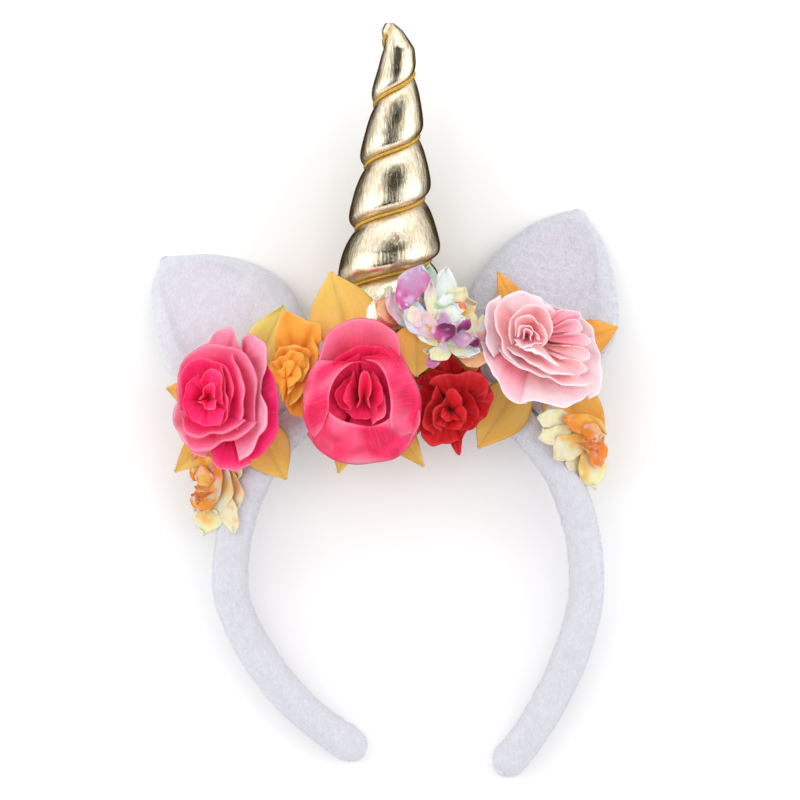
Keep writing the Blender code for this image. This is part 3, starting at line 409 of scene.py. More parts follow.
DYES = {
    "frost": (0.80, 0.83, 0.80), "cream": (0.86, 0.76, 0.50), "peach": (0.86, 0.45, 0.24),
    "coral": (0.78, 0.20, 0.10), "rose": (0.70, 0.28, 0.30), "lilac": (0.52, 0.31, 0.50),
    "orchid": (0.60, 0.10, 0.34), "plum": (0.16, 0.015, 0.09), "sky": (0.58, 0.70, 0.86),
    "lemon": (0.84, 0.80, 0.46), "green": (0.32, 0.55, 0.36), "gold": (0.85, 0.48, 0.09),
    "orange": (0.82, 0.26, 0.025), "blush": (0.82, 0.56, 0.62),
}

# Leaves, as in the CAD: the flower that carries it, the way it points, where it starts as a share of the
# flower's size, its length and width in leaf sizes, its lift, and the dyes at its stem and its tip
LEAF_LENGTH = 0.0300
LEAF_WIDTH = 0.0170
LEAF_SHOULDER = 0.90
LEAF_STEM = 0.06
LEAF_FOLD = 0.14
LEAF_DROOP = 0.05
LEAVES = {
    "leaf_left_top": ("rose_left", 66, .40, 1.00, .95, 4, "fresh", "fresh"),
    "leaf_left_side": ("rose_left", 168, .30, .74, .80, 4, "amber", "honey"),
    "leaf_left_low": ("rose_left", 224, .25, .98, .75, 3, "honey", "honey"),
    "leaf_left_inner": ("rose_left", 302, .20, .92, 1.10, 3, "ochre", "honey"),
    "leaf_centre_top": ("rose_centre", 106, .40, 1.05, 1.50, 6, "honey", "honey"),
    "leaf_centre_side": ("rose_centre", 168, .20, .95, .80, 4, "honey", "amber"),
    "leaf_centre_low": ("rose_centre", 256, .20, .98, .80, 3, "ochre", "honey"),
    "leaf_centre_edge": ("rose_centre", 308, .20, 1.15, .75, 3, "ochre", "honey"),
    "leaf_red_top": ("rose_red", 92, .10, .95, 1.30, 10, "amber", "honey"),
    "leaf_blush_low": ("rose_blush", 237, .35, 1.12, 1.20, 2, "olive", "ochre"),
    "leaf_blush_right": ("rose_blush", 300, .25, 1.35, 1.30, 2, "honey", "amber"),
    "leaf_blush_top": ("rose_blush", 116, .40, .85, .60, 2, "amber", "amber"),
    "leaf_blush_side": ("rose_blush", 20, .36, .74, .80, 2, "amber", "amber"),
}
# A leaf that hangs in front of the horn's foot: its stem on the photo, the way it points, its length and
# width, and how far in front of the band's middle its stem and tip are
HANGING_LEAF = (418, 320, 268, 0.0216, 0.0200, 0.0250, 0.0220)
LEAF_DYES = {
    "honey": (0.85, 0.55, 0.12), "amber": (0.94, 0.44, 0.08), "ochre": (0.76, 0.43, 0.08),
    "fresh": (0.98, 0.80, 0.20), "olive": (0.74, 0.54, 0.13),
}


# ---------------------------------------------------------------- numbers and lines
def direction(degrees):
    angle = math.radians(degrees)
    return Vector((math.cos(angle), math.sin(angle), 0.0))


def on_photo(across, down, z=0.0):
    """A place across the photo, in the worn frame."""
    return np.array([(across - PHOTO_MIDDLE[0]) * PHOTO_SCALE, (PHOTO_MIDDLE[1] - down) * PHOTO_SCALE, z])


def unit(vectors):
    return vectors / np.maximum(np.linalg.norm(vectors, axis=-1, keepdims=True), 1e-12)


def ramp(value, start, span):
    """0 up to the start, then rising to 1 over the span."""
    return np.clip((value - start) / span, 0, 1)


def fade(value, reach):
    """1 at nothing, then falling to 0 over the reach."""
    return np.clip(1 - value / reach, 0, 1)


def start_phase(seed):
    """Where a row of waves starts, in radians."""
    return np.random.default_rng(seed).uniform(0, 6.28)


def distances(line):
    """How far along a line each of its points is."""
    return np.concatenate([[0.0], np.cumsum(np.linalg.norm(np.diff(line, axis=0), axis=1))])


def at_distances(places, run, line):
    return np.stack([np.interp(places, run, line[:, k]) for k in range(line.shape[1])], axis=1)


def smooth_line(places, count):
    """Evenly spaced places along a smooth line through the given ones."""
    given = np.asarray(places, float)
    wide = np.concatenate([[2 * given[0] - given[1]], given, [2 * given[-1] - given[-2]]])
    run = np.linspace(0, len(given) - 1, count * 8)
    cell = np.minimum(run.astype(int), len(given) - 2)
    t = (run - cell)[:, None]
    one, two, three, four = (wide[cell + k] for k in range(4))
    line = 0.5 * (2 * two + (three - one) * t + (2 * one - 5 * two + 4 * three - four) * t ** 2
                  + (3 * two - one - 3 * three + four) * t ** 3)
    far = distances(line)
    return at_distances(np.linspace(0, far[-1], count), far, line)


def smooth_table(table, shares):
    """A table read as a smooth line through its rows."""
    line = smooth_line(table, 240)
    return np.stack([np.interp(shares, line[:, 0], line[:, k]) for k in range(1, line.shape[1])], axis=-1)


# ---------------------------------------------------------------- forms shared with the CAD
def oval(degrees):
    side = -1 if degrees < 0 else 1
    angle = math.radians(abs(degrees))
    drop, power, _ = LEFT_LIMB if side < 0 else RIGHT_LIMB
    if abs(degrees) <= 90:
        power = ARCH_POWER
        up = BAND_ARCH_HEIGHT * math.cos(angle) ** (2 / power)
    else:
        up = -drop * abs(math.cos(angle)) ** (2 / power)
    return Vector((side * BAND_HALF_WIDTH * math.sin(angle) ** (2 / power), up, 0.0))


def beside_band(degrees, out):
    run = (oval(degrees + 1) - oval(degrees - 1)).normalized()
    return oval(degrees) + Vector((-run.y, run.x, 0.0)) * out


def band_line(stations, end_shares):
    """The band's middle line, with how full it is at each station and how far along."""
    ends = []
    for side, (_, power, reach) in ((-1, LEFT_LIMB), (1, RIGHT_LIMB)):
        ends.append(side * (180 - math.degrees(math.acos(reach ** (power / 2)))))
    line = np.array([oval(angle) for angle in np.linspace(*ends, 720)])
    run = distances(line)
    near = BAND_END_ROUND * np.array(end_shares)
    inner = np.linspace(BAND_END_ROUND, run[-1] - BAND_END_ROUND, stations)
    places = np.concatenate([near, inner, run[-1] - near[::-1]])
    from_end = np.minimum(np.minimum(places, run[-1] - places) / BAND_END_ROUND, 1.0)
    fullness = np.sqrt(1 - (1 - from_end) ** 2 * (1 - BAND_END_FULLNESS ** 2))
    return at_distances(places, run, line), fullness, places


def squared(wave):
    return np.sign(wave) * np.abs(wave) ** (2 / BAND_SQUARENESS)


def band_rings(stations, sides, end_shares, swell=None):
    """Rings of the padded loop's cross-sections; swell moves its surface in or out."""
    line, fullness, places = band_line(stations, end_shares)
    run = unit(np.gradient(line, axis=0))
    outward = np.stack([-run[:, 1], run[:, 0], np.zeros(len(line))], axis=1)
    angle = 2 * np.pi * (np.arange(sides) + 0.5) / sides
    extra = 0.0 if swell is None else swell(places, angle)
    reach = (BAND_THICKNESS / 2 * fullness[:, None] + extra) * squared(np.cos(angle))
    rings = line[:, None, :] + outward[:, None, :] * reach[..., None]
    rings[..., 2] += (BAND_DEPTH / 2 * fullness[:, None] + extra) * squared(np.sin(angle))
    return rings


def horn_middles(heights):
    """The middle of the horn at each height, leaning over and hooked at the tip."""
    share = heights / HORN_HEIGHT
    hook = np.maximum(share - HOOK_FROM_SHARE, 0.0) / (1 - HOOK_FROM_SHARE)
    aside = HORN_LEAN * share ** LEAN_POWER - HORN_HOOK * hook ** HOOK_POWER
    foot = beside_band(HORN_AT, BAND_THICKNESS / 2 - HORN_SINK)
    return np.stack([foot.x + aside, foot.y + heights, np.zeros_like(heights)], axis=-1)


def cord_heights(turns):
    return CORD_TURN_AT_LEFT + CORD_PITCH * (0.5 - turns)


def cord_turns(height):
    return 0.5 - (height - CORD_TURN_AT_LEFT) / CORD_PITCH


def between_cords(heights, turns):
    """How far each point is on its way from one turn of the cord to the next, from 0 to 1."""
    return ((cord_heights(turns) - heights) / CORD_PITCH) % 1.0


def horn_points(heights, turns, lobes, out=0.0):
    """Points on the horn: turns go from the right round the front to the left."""
    rows = np.array(HORN_SECTIONS)
    section = HORN_BASE_RADIUS * np.interp(heights / HORN_HEIGHT, rows[:, 0], rows[:, 1])
    radius = section * lobes(between_cords(heights, turns)) + out
    way = np.stack([np.cos(2 * np.pi * turns), np.zeros_like(turns), np.sin(2 * np.pi * turns)], axis=-1)
    return horn_middles(heights) + way * radius[..., None]


def lying_floor():
    """Normal and offset of the floor the headband lies on, found as the CAD finds it."""
    rings = band_rings(CAD_STATIONS, CAD_BAND_SIDES, BAND_END_SHARES).reshape(-1, 3)
    lobes = np.array(LOBE_SECTIONS)
    first = math.floor((CORD_TURN_AT_LEFT - HORN_HEIGHT) / CORD_PITCH - 1) * CAD_HORN_SIDES
    last = math.ceil(CORD_TURN_AT_LEFT / CORD_PITCH + 1) * CAD_HORN_SIDES
    turns = np.repeat(np.arange(first, last + 1) / CAD_HORN_SIDES, len(lobes))
    heights = cord_heights(turns) - np.tile(lobes[:, 0], last - first + 1) * CORD_PITCH
    heights = np.clip(heights, 0.0, HORN_HEIGHT)
    horn = horn_points(heights, turns, lambda share: np.interp(share, lobes[:, 0], lobes[:, 1]))
    supports = [horn, rings[rings[:, 0] < 0], rings[rings[:, 0] > 0]]
    normal = np.array([0.0, 0.0, 1.0])
    for _ in range(12):
        one, two, three = (support[np.argmin(support @ normal)] for support in supports)
        normal = np.cross(two - one, three - one)
        normal /= np.linalg.norm(normal) * math.copysign(1.0, normal[2])
    return normal, float(one @ normal), rings


def lying_frame():
    """The turn and shift from the worn frame to the frame of the CAD."""
    normal, offset, rings = lying_floor()
    turn = Vector(normal).rotation_difference(Vector((0.0, 0.0, 1.0))).to_matrix().to_4x4()
    turned = rings @ np.array(turn.to_3x3()).T
    low, high = (np.array(corner)[:2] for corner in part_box("band"))
    aside = (low + high - turned.min(axis=0)[:2] - turned.max(axis=0)[:2]) / 2
    shift = Matrix.Translation((aside[0], aside[1], -offset - REST_PRESS))
    return shift @ turn, normal, offset


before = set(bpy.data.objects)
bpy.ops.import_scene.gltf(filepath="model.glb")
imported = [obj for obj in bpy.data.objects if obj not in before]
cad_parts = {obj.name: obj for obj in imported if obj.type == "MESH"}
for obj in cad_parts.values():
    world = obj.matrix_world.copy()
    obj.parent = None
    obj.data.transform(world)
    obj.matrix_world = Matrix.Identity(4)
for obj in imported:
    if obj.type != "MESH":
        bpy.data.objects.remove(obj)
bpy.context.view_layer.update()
LYING, FLOOR_NORMAL, FLOOR_OFFSET = lying_frame()


def moved(points, matrix):
    rows = np.array(matrix)
    return points @ rows[:3, :3].T + rows[:3, 3]


def to_lying(points):
    return moved(points, LYING)


def cad_points(node):
    """A CAD node's points, turned back to the worn frame."""
    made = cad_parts[node]
    points = read_points(made).astype(float)
    return moved(moved(points, made.matrix_world), LYING.inverted())


# ---------------------------------------------------------------- making pieces
def read_points(piece):
    points = np.empty(len(piece.data.vertices) * 3, np.float32)
    piece.data.vertices.foreach_get("co", points)
    return points.reshape(-1, 3)


def flatten(piece):
    """Presses what lies under the floor flat onto it."""
    points = read_points(piece)
    points[:, 2] = np.maximum(points[:, 2], 0.0)
    piece.data.vertices.foreach_set("co", points.reshape(-1))
    piece.data.update()


def add_object(name, data):
    made = bpy.data.objects.new(name, data)
    bpy.context.scene.collection.objects.link(made)
    return made


def reshape(mesh, change):
    """Lets a function change a mesh, and turns its faces outward after that."""
    shape = bmesh.new()
    shape.from_mesh(mesh)
    change(shape)
    bmesh.ops.recalc_face_normals(shape, faces=shape.faces)
    shape.to_mesh(mesh)
    shape.free()
    mesh.shade_smooth()


MARK_KINDS = {1: ("FLOAT", "value"), 4: ("FLOAT_COLOR", "color")}


def mesh_piece(name, points, faces, material, marks, merge=0.0):
    """A piece whose points are given in the worn frame, laid down with the rest, with its marks."""
    mesh = bpy.data.meshes.new(name)
    mesh.from_pydata(to_lying(np.asarray(points)).tolist(), [], faces)
    for mark, values in marks.items():
        values = np.asarray(values, np.float32)
        kind, field = MARK_KINDS[1 if values.ndim == 1 else values.shape[1]]
        mesh.attributes.new(mark, kind, "POINT").data.foreach_set(field, values.reshape(-1))

    def merged(shape):
        if merge:
            bmesh.ops.remove_doubles(shape, verts=shape.verts, dist=merge)
            bmesh.ops.dissolve_degenerate(shape, dist=merge, edges=shape.edges)
    reshape(mesh, merged)
    mesh.materials.append(material)
    return add_object(name, mesh)


def grid_faces(rows, columns, first=0):
    """Faces over a grid of points."""
    corners = [first + row * columns + column for row in range(rows - 1) for column in range(columns - 1)]
    return [(one, one + 1, one + columns + 1, one + columns) for one in corners]


def tube_faces(rings, sides):
    """Faces round a stack of rings, with both ends closed."""
    faces = []
    for ring in range(rings - 1):
        for side in range(sides):
            one, two = ring * sides + side, ring * sides + (side + 1) % sides
            faces.append((one, two, two + sides, one + sides))
    return faces + [tuple(range(sides)), tuple(range((rings - 1) * sides, rings * sides))]


def final_mesh(piece):
    """The mesh that a piece's modifiers make of it."""
    bpy.context.view_layer.update()
    graph = bpy.context.evaluated_depsgraph_get()
    shown = piece.evaluated_get(graph)
    return bpy.data.meshes.new_from_object(shown, preserve_all_data_layers=True, depsgraph=graph)


def settle(piece):
    """Replaces a piece's mesh with what its modifiers make of it."""
    mesh = final_mesh(piece)
    piece.modifiers.clear()
    piece.data = mesh


def place_piece(piece, *nodes, slot=None):
    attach(piece, "root")
    if nodes:
        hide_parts(*nodes)


# ---------------------------------------------------------------- node trees
class Steps:
    """Builds a node tree step by step; a step's inputs are values or the outputs of other steps."""

    def __init__(self, tree):
        self.tree = tree

    def feed(self, socket, value):
        if isinstance(value, bpy.types.NodeSocket):
            self.tree.links.new(value, socket)
        elif value is not None:
            socket.default_value = value

    def step(self, kind, *given, **named):
        """A new node's outputs. Its inputs come in order or by name; small-letter names are its settings."""
        node = self.tree.nodes.new(kind)
        for name, value in named.items():
            if name[0].islower():
                setattr(node, name, value)
        for name, value in named.items():
            if name[0].isupper():
                self.feed(node.inputs[name.replace("_", " ")], value)
        for socket, value in zip(node.inputs, given):
            self.feed(socket, value)
        return node.outputs

    def number(self, operation, *given):
        return self.step("ShaderNodeMath", *given, operation=operation)[0]

    def arrow(self, operation, one, *two, **named):
        return self.step("ShaderNodeVectorMath", one, *two, operation=operation, **named)["Vector"]


class Growth(Steps):
    """A Geometry Nodes tree with named inputs, which gives pieces their shape."""

    def __init__(self, name, result, **inputs):
        super().__init__(bpy.data.node_groups.new(name, "GeometryNodeTree"))
        kinds = {type(None): "NodeSocketGeometry", int: "NodeSocketInt", float: "NodeSocketFloat"}
        self.sockets = {}
        for label, value in inputs.items():
            socket = self.tree.interface.new_socket(
                label.replace("_", " "), in_out="INPUT", socket_type=kinds[type(value)])
            if value is not None:
                socket.default_value = value
            self.sockets[label] = socket.identifier
        self.tree.interface.new_socket(result, in_out="OUTPUT", socket_type="NodeSocketGeometry")
        self.given = self.step("NodeGroupInput")
        self.result = self.tree.nodes.new("NodeGroupOutput").inputs[result]

    def random(self, kind, first, low, high):
        """A random value; its own range starts at its first-th input, by its kind."""
        outputs = self.step("FunctionNodeRandomValue", data_type=kind, Seed=self.given["Seed"])
        for socket, value in zip(outputs[0].node.inputs[first:], (low, high)):
            self.feed(socket, value)
        return outputs[first // 2]

    def dress(self, shape, material):
        return self.step("GeometryNodeSetMaterial", Geometry=shape, Material=material)["Geometry"]

    def real(self, shape):
        return self.step("GeometryNodeRealizeInstances", Geometry=shape)["Geometry"]

    def use(self, piece, **settings):
        """Puts this tree on a piece, with its inputs set."""
        modifier = piece.modifiers.new(self.tree.name, "NODES")
        modifier.node_group = self.tree
        for label, value in settings.items():
            modifier[self.sockets[label]] = value


class Look(Steps):
    """A material, built up step by step."""

    def __init__(self, name, **constants):
        self.material = bpy.data.materials.new(name)
        self.material.use_nodes = True
        super().__init__(self.material.node_tree)
        self.shader = next(node for node in self.tree.nodes if node.type == "BSDF_PRINCIPLED")
        self.use(**constants)

    def use(self, **values):
        """Gives the shader its values, and the material back."""
        for socket, value in values.items():
            self.feed(self.shader.inputs[socket.replace("_", " ")], value)
        return self.material

    def place(self, scale=(1.0, 1.0, 1.0)):
        return self.fitted(self.step("ShaderNodeTexCoord")["Object"], scale)

    def fitted(self, place, scale):
        return self.step("ShaderNodeMapping", Vector=place, Scale=scale)["Vector"]

    def mark(self, name, output="Fac"):
        return self.step("ShaderNodeAttribute", attribute_name=name)[output]

    def speckle(self, place, scale, detail=4.0, roughness=0.6):
        return self.step("ShaderNodeTexNoise", Vector=place, Scale=scale, Detail=detail,
                         Roughness=roughness)["Fac"]

    def spread(self, value, low, high, to_low, to_high):
        return self.step("ShaderNodeMapRange", value, low, high, to_low, to_high)["Result"]

    def blend(self, share, one, two, kind="MIX"):
        """Mixes two colours; a colour mix has its share and its colours at sockets 0, 6 and 7."""
        outputs = self.step("ShaderNodeMix", data_type="RGBA", blend_type=kind)
        for socket, value in ((0, share), (6, one), (7, two)):
            value = (*value, 1.0) if isinstance(value, tuple) else value
            self.feed(outputs[0].node.inputs[socket], value)
        return outputs[2]

    def relief(self, height, strength, distance, under=None):
        return self.step("ShaderNodeBump", Strength=strength, Distance=distance, Height=height,
                         Normal=under)["Normal"]


# ---------------------------------------------------------------- materials
def plush_look(name, shade, inner_shade):
    """Short white nap: brushed patches and finer clumps of fibre that catch the light apart, in painted sheen:
    the patches painted duller, the clumps darker and lighter.
    """
    look = Look(name, Roughness=0.85, Sheen_Weight=0.35, Sheen_Roughness=0.4, Subsurface_Weight=0.0)
    patches = look.speckle(look.place(), 240.0, 5.0, 0.68)
    clumps_and_sheen = look.speckle(look.place((1.0, 0.55, 1.0)), 1150.0, 3.0, 0.65)
    painted_pile_shade, painted_shade = (tuple(part * light for part in inner_shade) for light in (0.82, 0.80))
    colour = look.blend(look.mark("inner"), shade, inner_shade)
    # Painted sheen: brushed patches painted duller, then fibre clumps painted darker
    colour = look.blend(look.spread(patches, 0.40, 0.64, 0.0, 0.35), colour, painted_pile_shade)
    colour = look.blend(look.spread(clumps_and_sheen, 0.36, 0.52, 0.22, 0.0), colour, painted_shade)
    # Painted highlight: the brightest fibre clumps painted near white
    colour = look.blend(look.spread(clumps_and_sheen, 0.50, 0.68, 0.0, 0.22), colour, (0.90, 0.91, 0.94))
    lumps = look.relief(patches, 0.35, 0.0020)
    return look.use(Base_Color=colour, Normal=look.relief(clumps_and_sheen, 0.35, 0.0006, lumps))


def petal_look(name, gloss=0.6, see_through=0.35, mottle=0.07):
    """Printed petal cloth: its colour is in the piece's own marks, veined along its cut."""
    look = Look(name, Roughness=gloss, Sheen_Weight=0.05, Sheen_Roughness=0.5, Specular_IOR_Level=0.22,
                Subsurface_Weight=see_through, Subsurface_Scale=0.0015)
    dye = look.mark("dye", "Color")
    veins = look.speckle(look.fitted(look.mark("cut", "Vector"), (1.0, 0.10, 1.0)), 900.0, 3.0, 0.55)
    patches = look.spread(look.speckle(look.place(), 190.0, 3.0), 0.3, 0.7, 0.0, mottle)
    light_veins = look.spread(veins, 0.5, 0.8, 0.0, mottle * 1.5)
    dark_veins = look.spread(veins, 0.22, 0.48, mottle * 1.5, 0.0)
    colour = look.blend(patches, dye, look.blend(1.0, dye, (0.62, 0.62, 0.62), "MULTIPLY"))
    colour = look.blend(light_veins, colour, look.blend(0.45, dye, (1.0, 0.90, 0.93)))
    colour = look.blend(dark_veins, colour, look.blend(1.0, dye, (0.70, 0.62, 0.66), "MULTIPLY"))
    weave = look.speckle(look.place(), 2600.0, 2.0)
    soft = look.speckle(look.place(), 300.0, 3.0)
    crease = look.relief(veins, 0.16, 0.0005, look.relief(soft, 0.34, 0.0012))
    return look.use(Base_Color=colour, Normal=look.relief(weave, 0.14, 0.0002, crease))


def gold_cloth_look(name):
    """Lame: metal foil on a fine knit, crumpled in streaks that run up the horn."""
    look = Look(name, Metallic=1.0, Specular_Tint=(0.45, 0.33, 0.16, 1.0))
    streak = look.speckle(look.place((1.0, 0.06, 1.0)), 1150.0, 5.0, 0.66)
    crumple = look.speckle(look.place((1.0, 0.35, 1.0)), 420.0, 4.0, 0.6)
    grain = look.speckle(look.place(), 5200.0, 1.0)
    gather_and_shade = look.mark("gather_and_shade")
    colour = look.blend(look.spread(streak, 0.32, 0.64, 0.0, 1.0), (1.0, 0.94, 0.80), (0.78, 0.63, 0.39))
    # Painted shade with a warm painted glow: the lame darkens to orange brown where the cord gathers it into
    # its groove
    colour = look.blend(look.spread(gather_and_shade, 0.5, 1.0, 0.0, 0.7), colour, (0.62, 0.36, 0.10))
    grainy, gathered = look.spread(grain, 0.3, 0.7, 0.12, 0.22), look.spread(gather_and_shade, 0.2, 1.0, 0.0, 0.35)
    folds = look.relief(crumple, 0.16, 0.0008, look.relief(streak, 0.46, 0.0004))
    return look.use(Base_Color=colour, Roughness=look.number("ADD", grainy, gathered),
                    Normal=look.relief(grain, 0.10, 0.0001, folds))


def gold_cord_look(name):
    """Metal thread that glitters in small spots."""
    look = Look(name, Metallic=0.85)
    sparkle = look.speckle(look.place(), 3400.0, 3.0, 0.7)
    colour = look.blend(look.spread(sparkle, 0.4, 0.62, 0.0, 1.0), (0.60, 0.34, 0.02), (1.0, 0.76, 0.20))
    return look.use(Base_Color=colour, Roughness=look.spread(sparkle, 0.3, 0.7, 0.18, 0.5),
                    Normal=look.relief(sparkle, 0.7, 0.0003))


def plain_look(name, colour, gloss):
    look = Look(name, Roughness=gloss)
    patches = look.spread(look.speckle(look.place(), 900.0, 3.0), 0.3, 0.7, 0.0, 1.0)
    return look.use(Base_Color=look.blend(patches, colour, tuple(part * 0.7 for part in colour)))


# ---------------------------------------------------------------- what repeats
def nap_growth(material):
    """Stands fine fibres on the cloth, combed in patches and a little astray."""
    tree = Growth("plush_nap", "Nap", Cloth=None, Fibres_per_square_metre=1.0e6, Fibre_length=0.001,
                  Fibre_width=0.0001, Lean=0.6, Seed=5)
    given = tree.given
    spots = tree.step("GeometryNodeDistributePointsOnFaces", Mesh=given["Cloth"], Seed=given["Seed"],
                      Density=given["Fibres per square metre"])
    fibre = tree.step("GeometryNodeMeshCone", fill_type="NONE", Vertices=3, Radius_Top=0.0,
                      Radius_Bottom=given["Fibre width"], Depth=given["Fibre length"])
    comb = tree.step("ShaderNodeTexNoise", Scale=160.0, Detail=2.0)["Color"]
    swept = tree.arrow("SCALE", tree.arrow("SUBTRACT", comb, (0.5, 0.5, 0.5)), Scale=given["Lean"])
    stray = tree.random("FLOAT_VECTOR", 0, (-0.5, -0.5, -0.5), (0.5, 0.5, 0.5))
    way = tree.arrow("ADD", tree.arrow("ADD", swept, stray), spots["Normal"])
    turn = tree.step("FunctionNodeAlignRotationToVector", axis="Z", Vector=way)["Rotation"]
    plant = tree.step("GeometryNodeInstanceOnPoints", Points=spots["Points"], Instance=fibre["Mesh"],
                      Rotation=turn, Scale=tree.random("FLOAT", 2, 0.55, 1.15))
    tree.feed(tree.result, tree.dress(tree.real(plant["Instances"]), material))
    return tree


def cord_growth(material):
    """Lays strands round a path, twisted together."""
    tree = Growth("twisted_cord", "Cord", Path=None, Strand_thickness=0.0008, Off_the_middle=0.0005,
                  Twist_length=0.004)
    given = tree.given
    normal = tree.step("GeometryNodeInputNormal")[0]
    tangent = tree.step("GeometryNodeInputTangent")[0]
    along = tree.step("GeometryNodeSplineParameter")["Length"]
    sideways = tree.arrow("CROSS_PRODUCT", tangent, normal)
    turned = tree.number("MULTIPLY", tree.number("DIVIDE", along, given["Twist length"]), 2 * math.pi)
    profile = tree.step("GeometryNodeCurvePrimitiveCircle", Resolution=7, Radius=given["Strand thickness"])
    joined = tree.step("GeometryNodeJoinGeometry")
    for strand in range(CORD_STRANDS):
        angle = tree.number("ADD", turned, strand * 2 * math.pi / CORD_STRANDS)
        aside = []
        for way, wave in ((normal, "COSINE"), (sideways, "SINE")):
            size = tree.number("MULTIPLY", tree.number(wave, angle), given["Off the middle"])
            aside.append(tree.arrow("SCALE", way, Scale=size))
        path = tree.step("GeometryNodeSetPosition", Geometry=given["Path"], Offset=tree.arrow("ADD", *aside))
        tube = tree.step("GeometryNodeCurveToMesh", Curve=path["Geometry"], Fill_Caps=True,
                         Profile_Curve=profile["Curve"])
        tree.feed(joined[0].node.inputs["Geometry"], tube["Mesh"])
    smooth = tree.step("GeometryNodeSetShadeSmooth", Geometry=joined["Geometry"])["Geometry"]
    tree.feed(tree.result, tree.dress(tree.real(smooth), material))
    return tree


def tuft_growth(thread_look, bead_look):
    """A tuft: threads that spread from one knot, each with a bead."""
    tree = Growth("stamen_tuft", "Tuft", Threads=14, Thread_length=0.0095, Spread=0.4, Seed=3)
    given = tree.given
    long = given["Thread length"]
    roots = tree.step("GeometryNodePoints", Count=given["Threads"])["Points"]
    thread = tree.step("GeometryNodeMeshCylinder", Vertices=6, Radius=THREAD_RADIUS, Depth=long)["Mesh"]
    bead = tree.step("GeometryNodeMeshIcoSphere", Radius=BEAD_RADIUS, Subdivisions=2)["Mesh"]
    parts = tree.step("GeometryNodeJoinGeometry")
    halfway = tree.number("MULTIPLY", long, 0.5)
    for shape, height, look in ((thread, halfway, thread_look), (bead, long, bead_look)):
        lift = tree.step("ShaderNodeCombineXYZ", Z=height)["Vector"]
        raised = tree.step("GeometryNodeTransform", Geometry=shape, Translation=lift)["Geometry"]
        tree.feed(parts[0].node.inputs["Geometry"], tree.dress(raised, look))
    back, ahead = (tree.arrow("SCALE", (side, side, 0.0), Scale=given["Spread"]) for side in (-1.0, 1.0))
    plant = tree.step("GeometryNodeInstanceOnPoints", Points=roots, Instance=parts["Geometry"],
                      Rotation=tree.random("FLOAT_VECTOR", 0, back, ahead),
                      Scale=tree.random("FLOAT", 2, 0.72, 1.05))
    tree.feed(tree.result, tree.real(plant["Instances"]))
    return tree


# ---------------------------------------------------------------- plush and horn
def uneven(points, size, seed=0.0):
    """A soft random number for each point, from about -1 to 1."""
    shift = Vector((seed, seed * 0.7, -seed))
    values = [noise.noise(Vector(point) / size + shift) for point in points.reshape(-1, 3)]
    return np.array(values).reshape(points.shape[:-1])


def add_nap(piece, tree, **settings):
    """A second piece: the fibres that stand on this one."""
    nap = add_object(piece.name.replace("_cover", "") + "_nap", piece.data.copy())
    nap.data.materials.clear()
    tree.use(nap, **settings)
    settle(nap)
    flatten(nap)
    place_piece(nap, slot="plush")


def band_swell(places, angle):
    """How far the band's sleeve is in or out: a little lumpy, puckered across on its inner side."""
    core, lump, small_lump, pucker_size, pucker_step = 0.006, 0.00042, 0.00016, 0.00022, 0.0072
    east, north = (np.repeat(wave[None] * core, len(places), axis=0) for wave in (np.cos(angle), np.sin(angle)))
    spots = np.stack([np.repeat(places[:, None], len(angle), axis=1), east, north], axis=-1)
    lumps = uneven(spots, 0.016) * lump + uneven(spots, 0.006, 4.0) * small_lump
    inner = np.clip(-np.cos(angle), 0, 1)[None] ** 1.5
    pucker = np.cos(places * 2 * np.pi / pucker_step + 3 * uneven(spots[:, 0], 0.02, 9.0))[:, None]
    return lumps + inner * pucker * pucker_size * (0.5 + uneven(spots, 0.02, 2.0))


def band_cover(material):
    """The plush sleeve of the band."""
    stations, sides = BAND_MESH
    rings = band_rings(stations, sides, BAND_MESH_END_SHARES, band_swell)
    marks = {"inner": np.zeros(len(rings) * sides)}
    made = mesh_piece("band_cover", rings.reshape(-1, 3), tube_faces(len(rings), sides), material, marks)
    flatten(made)
    return made


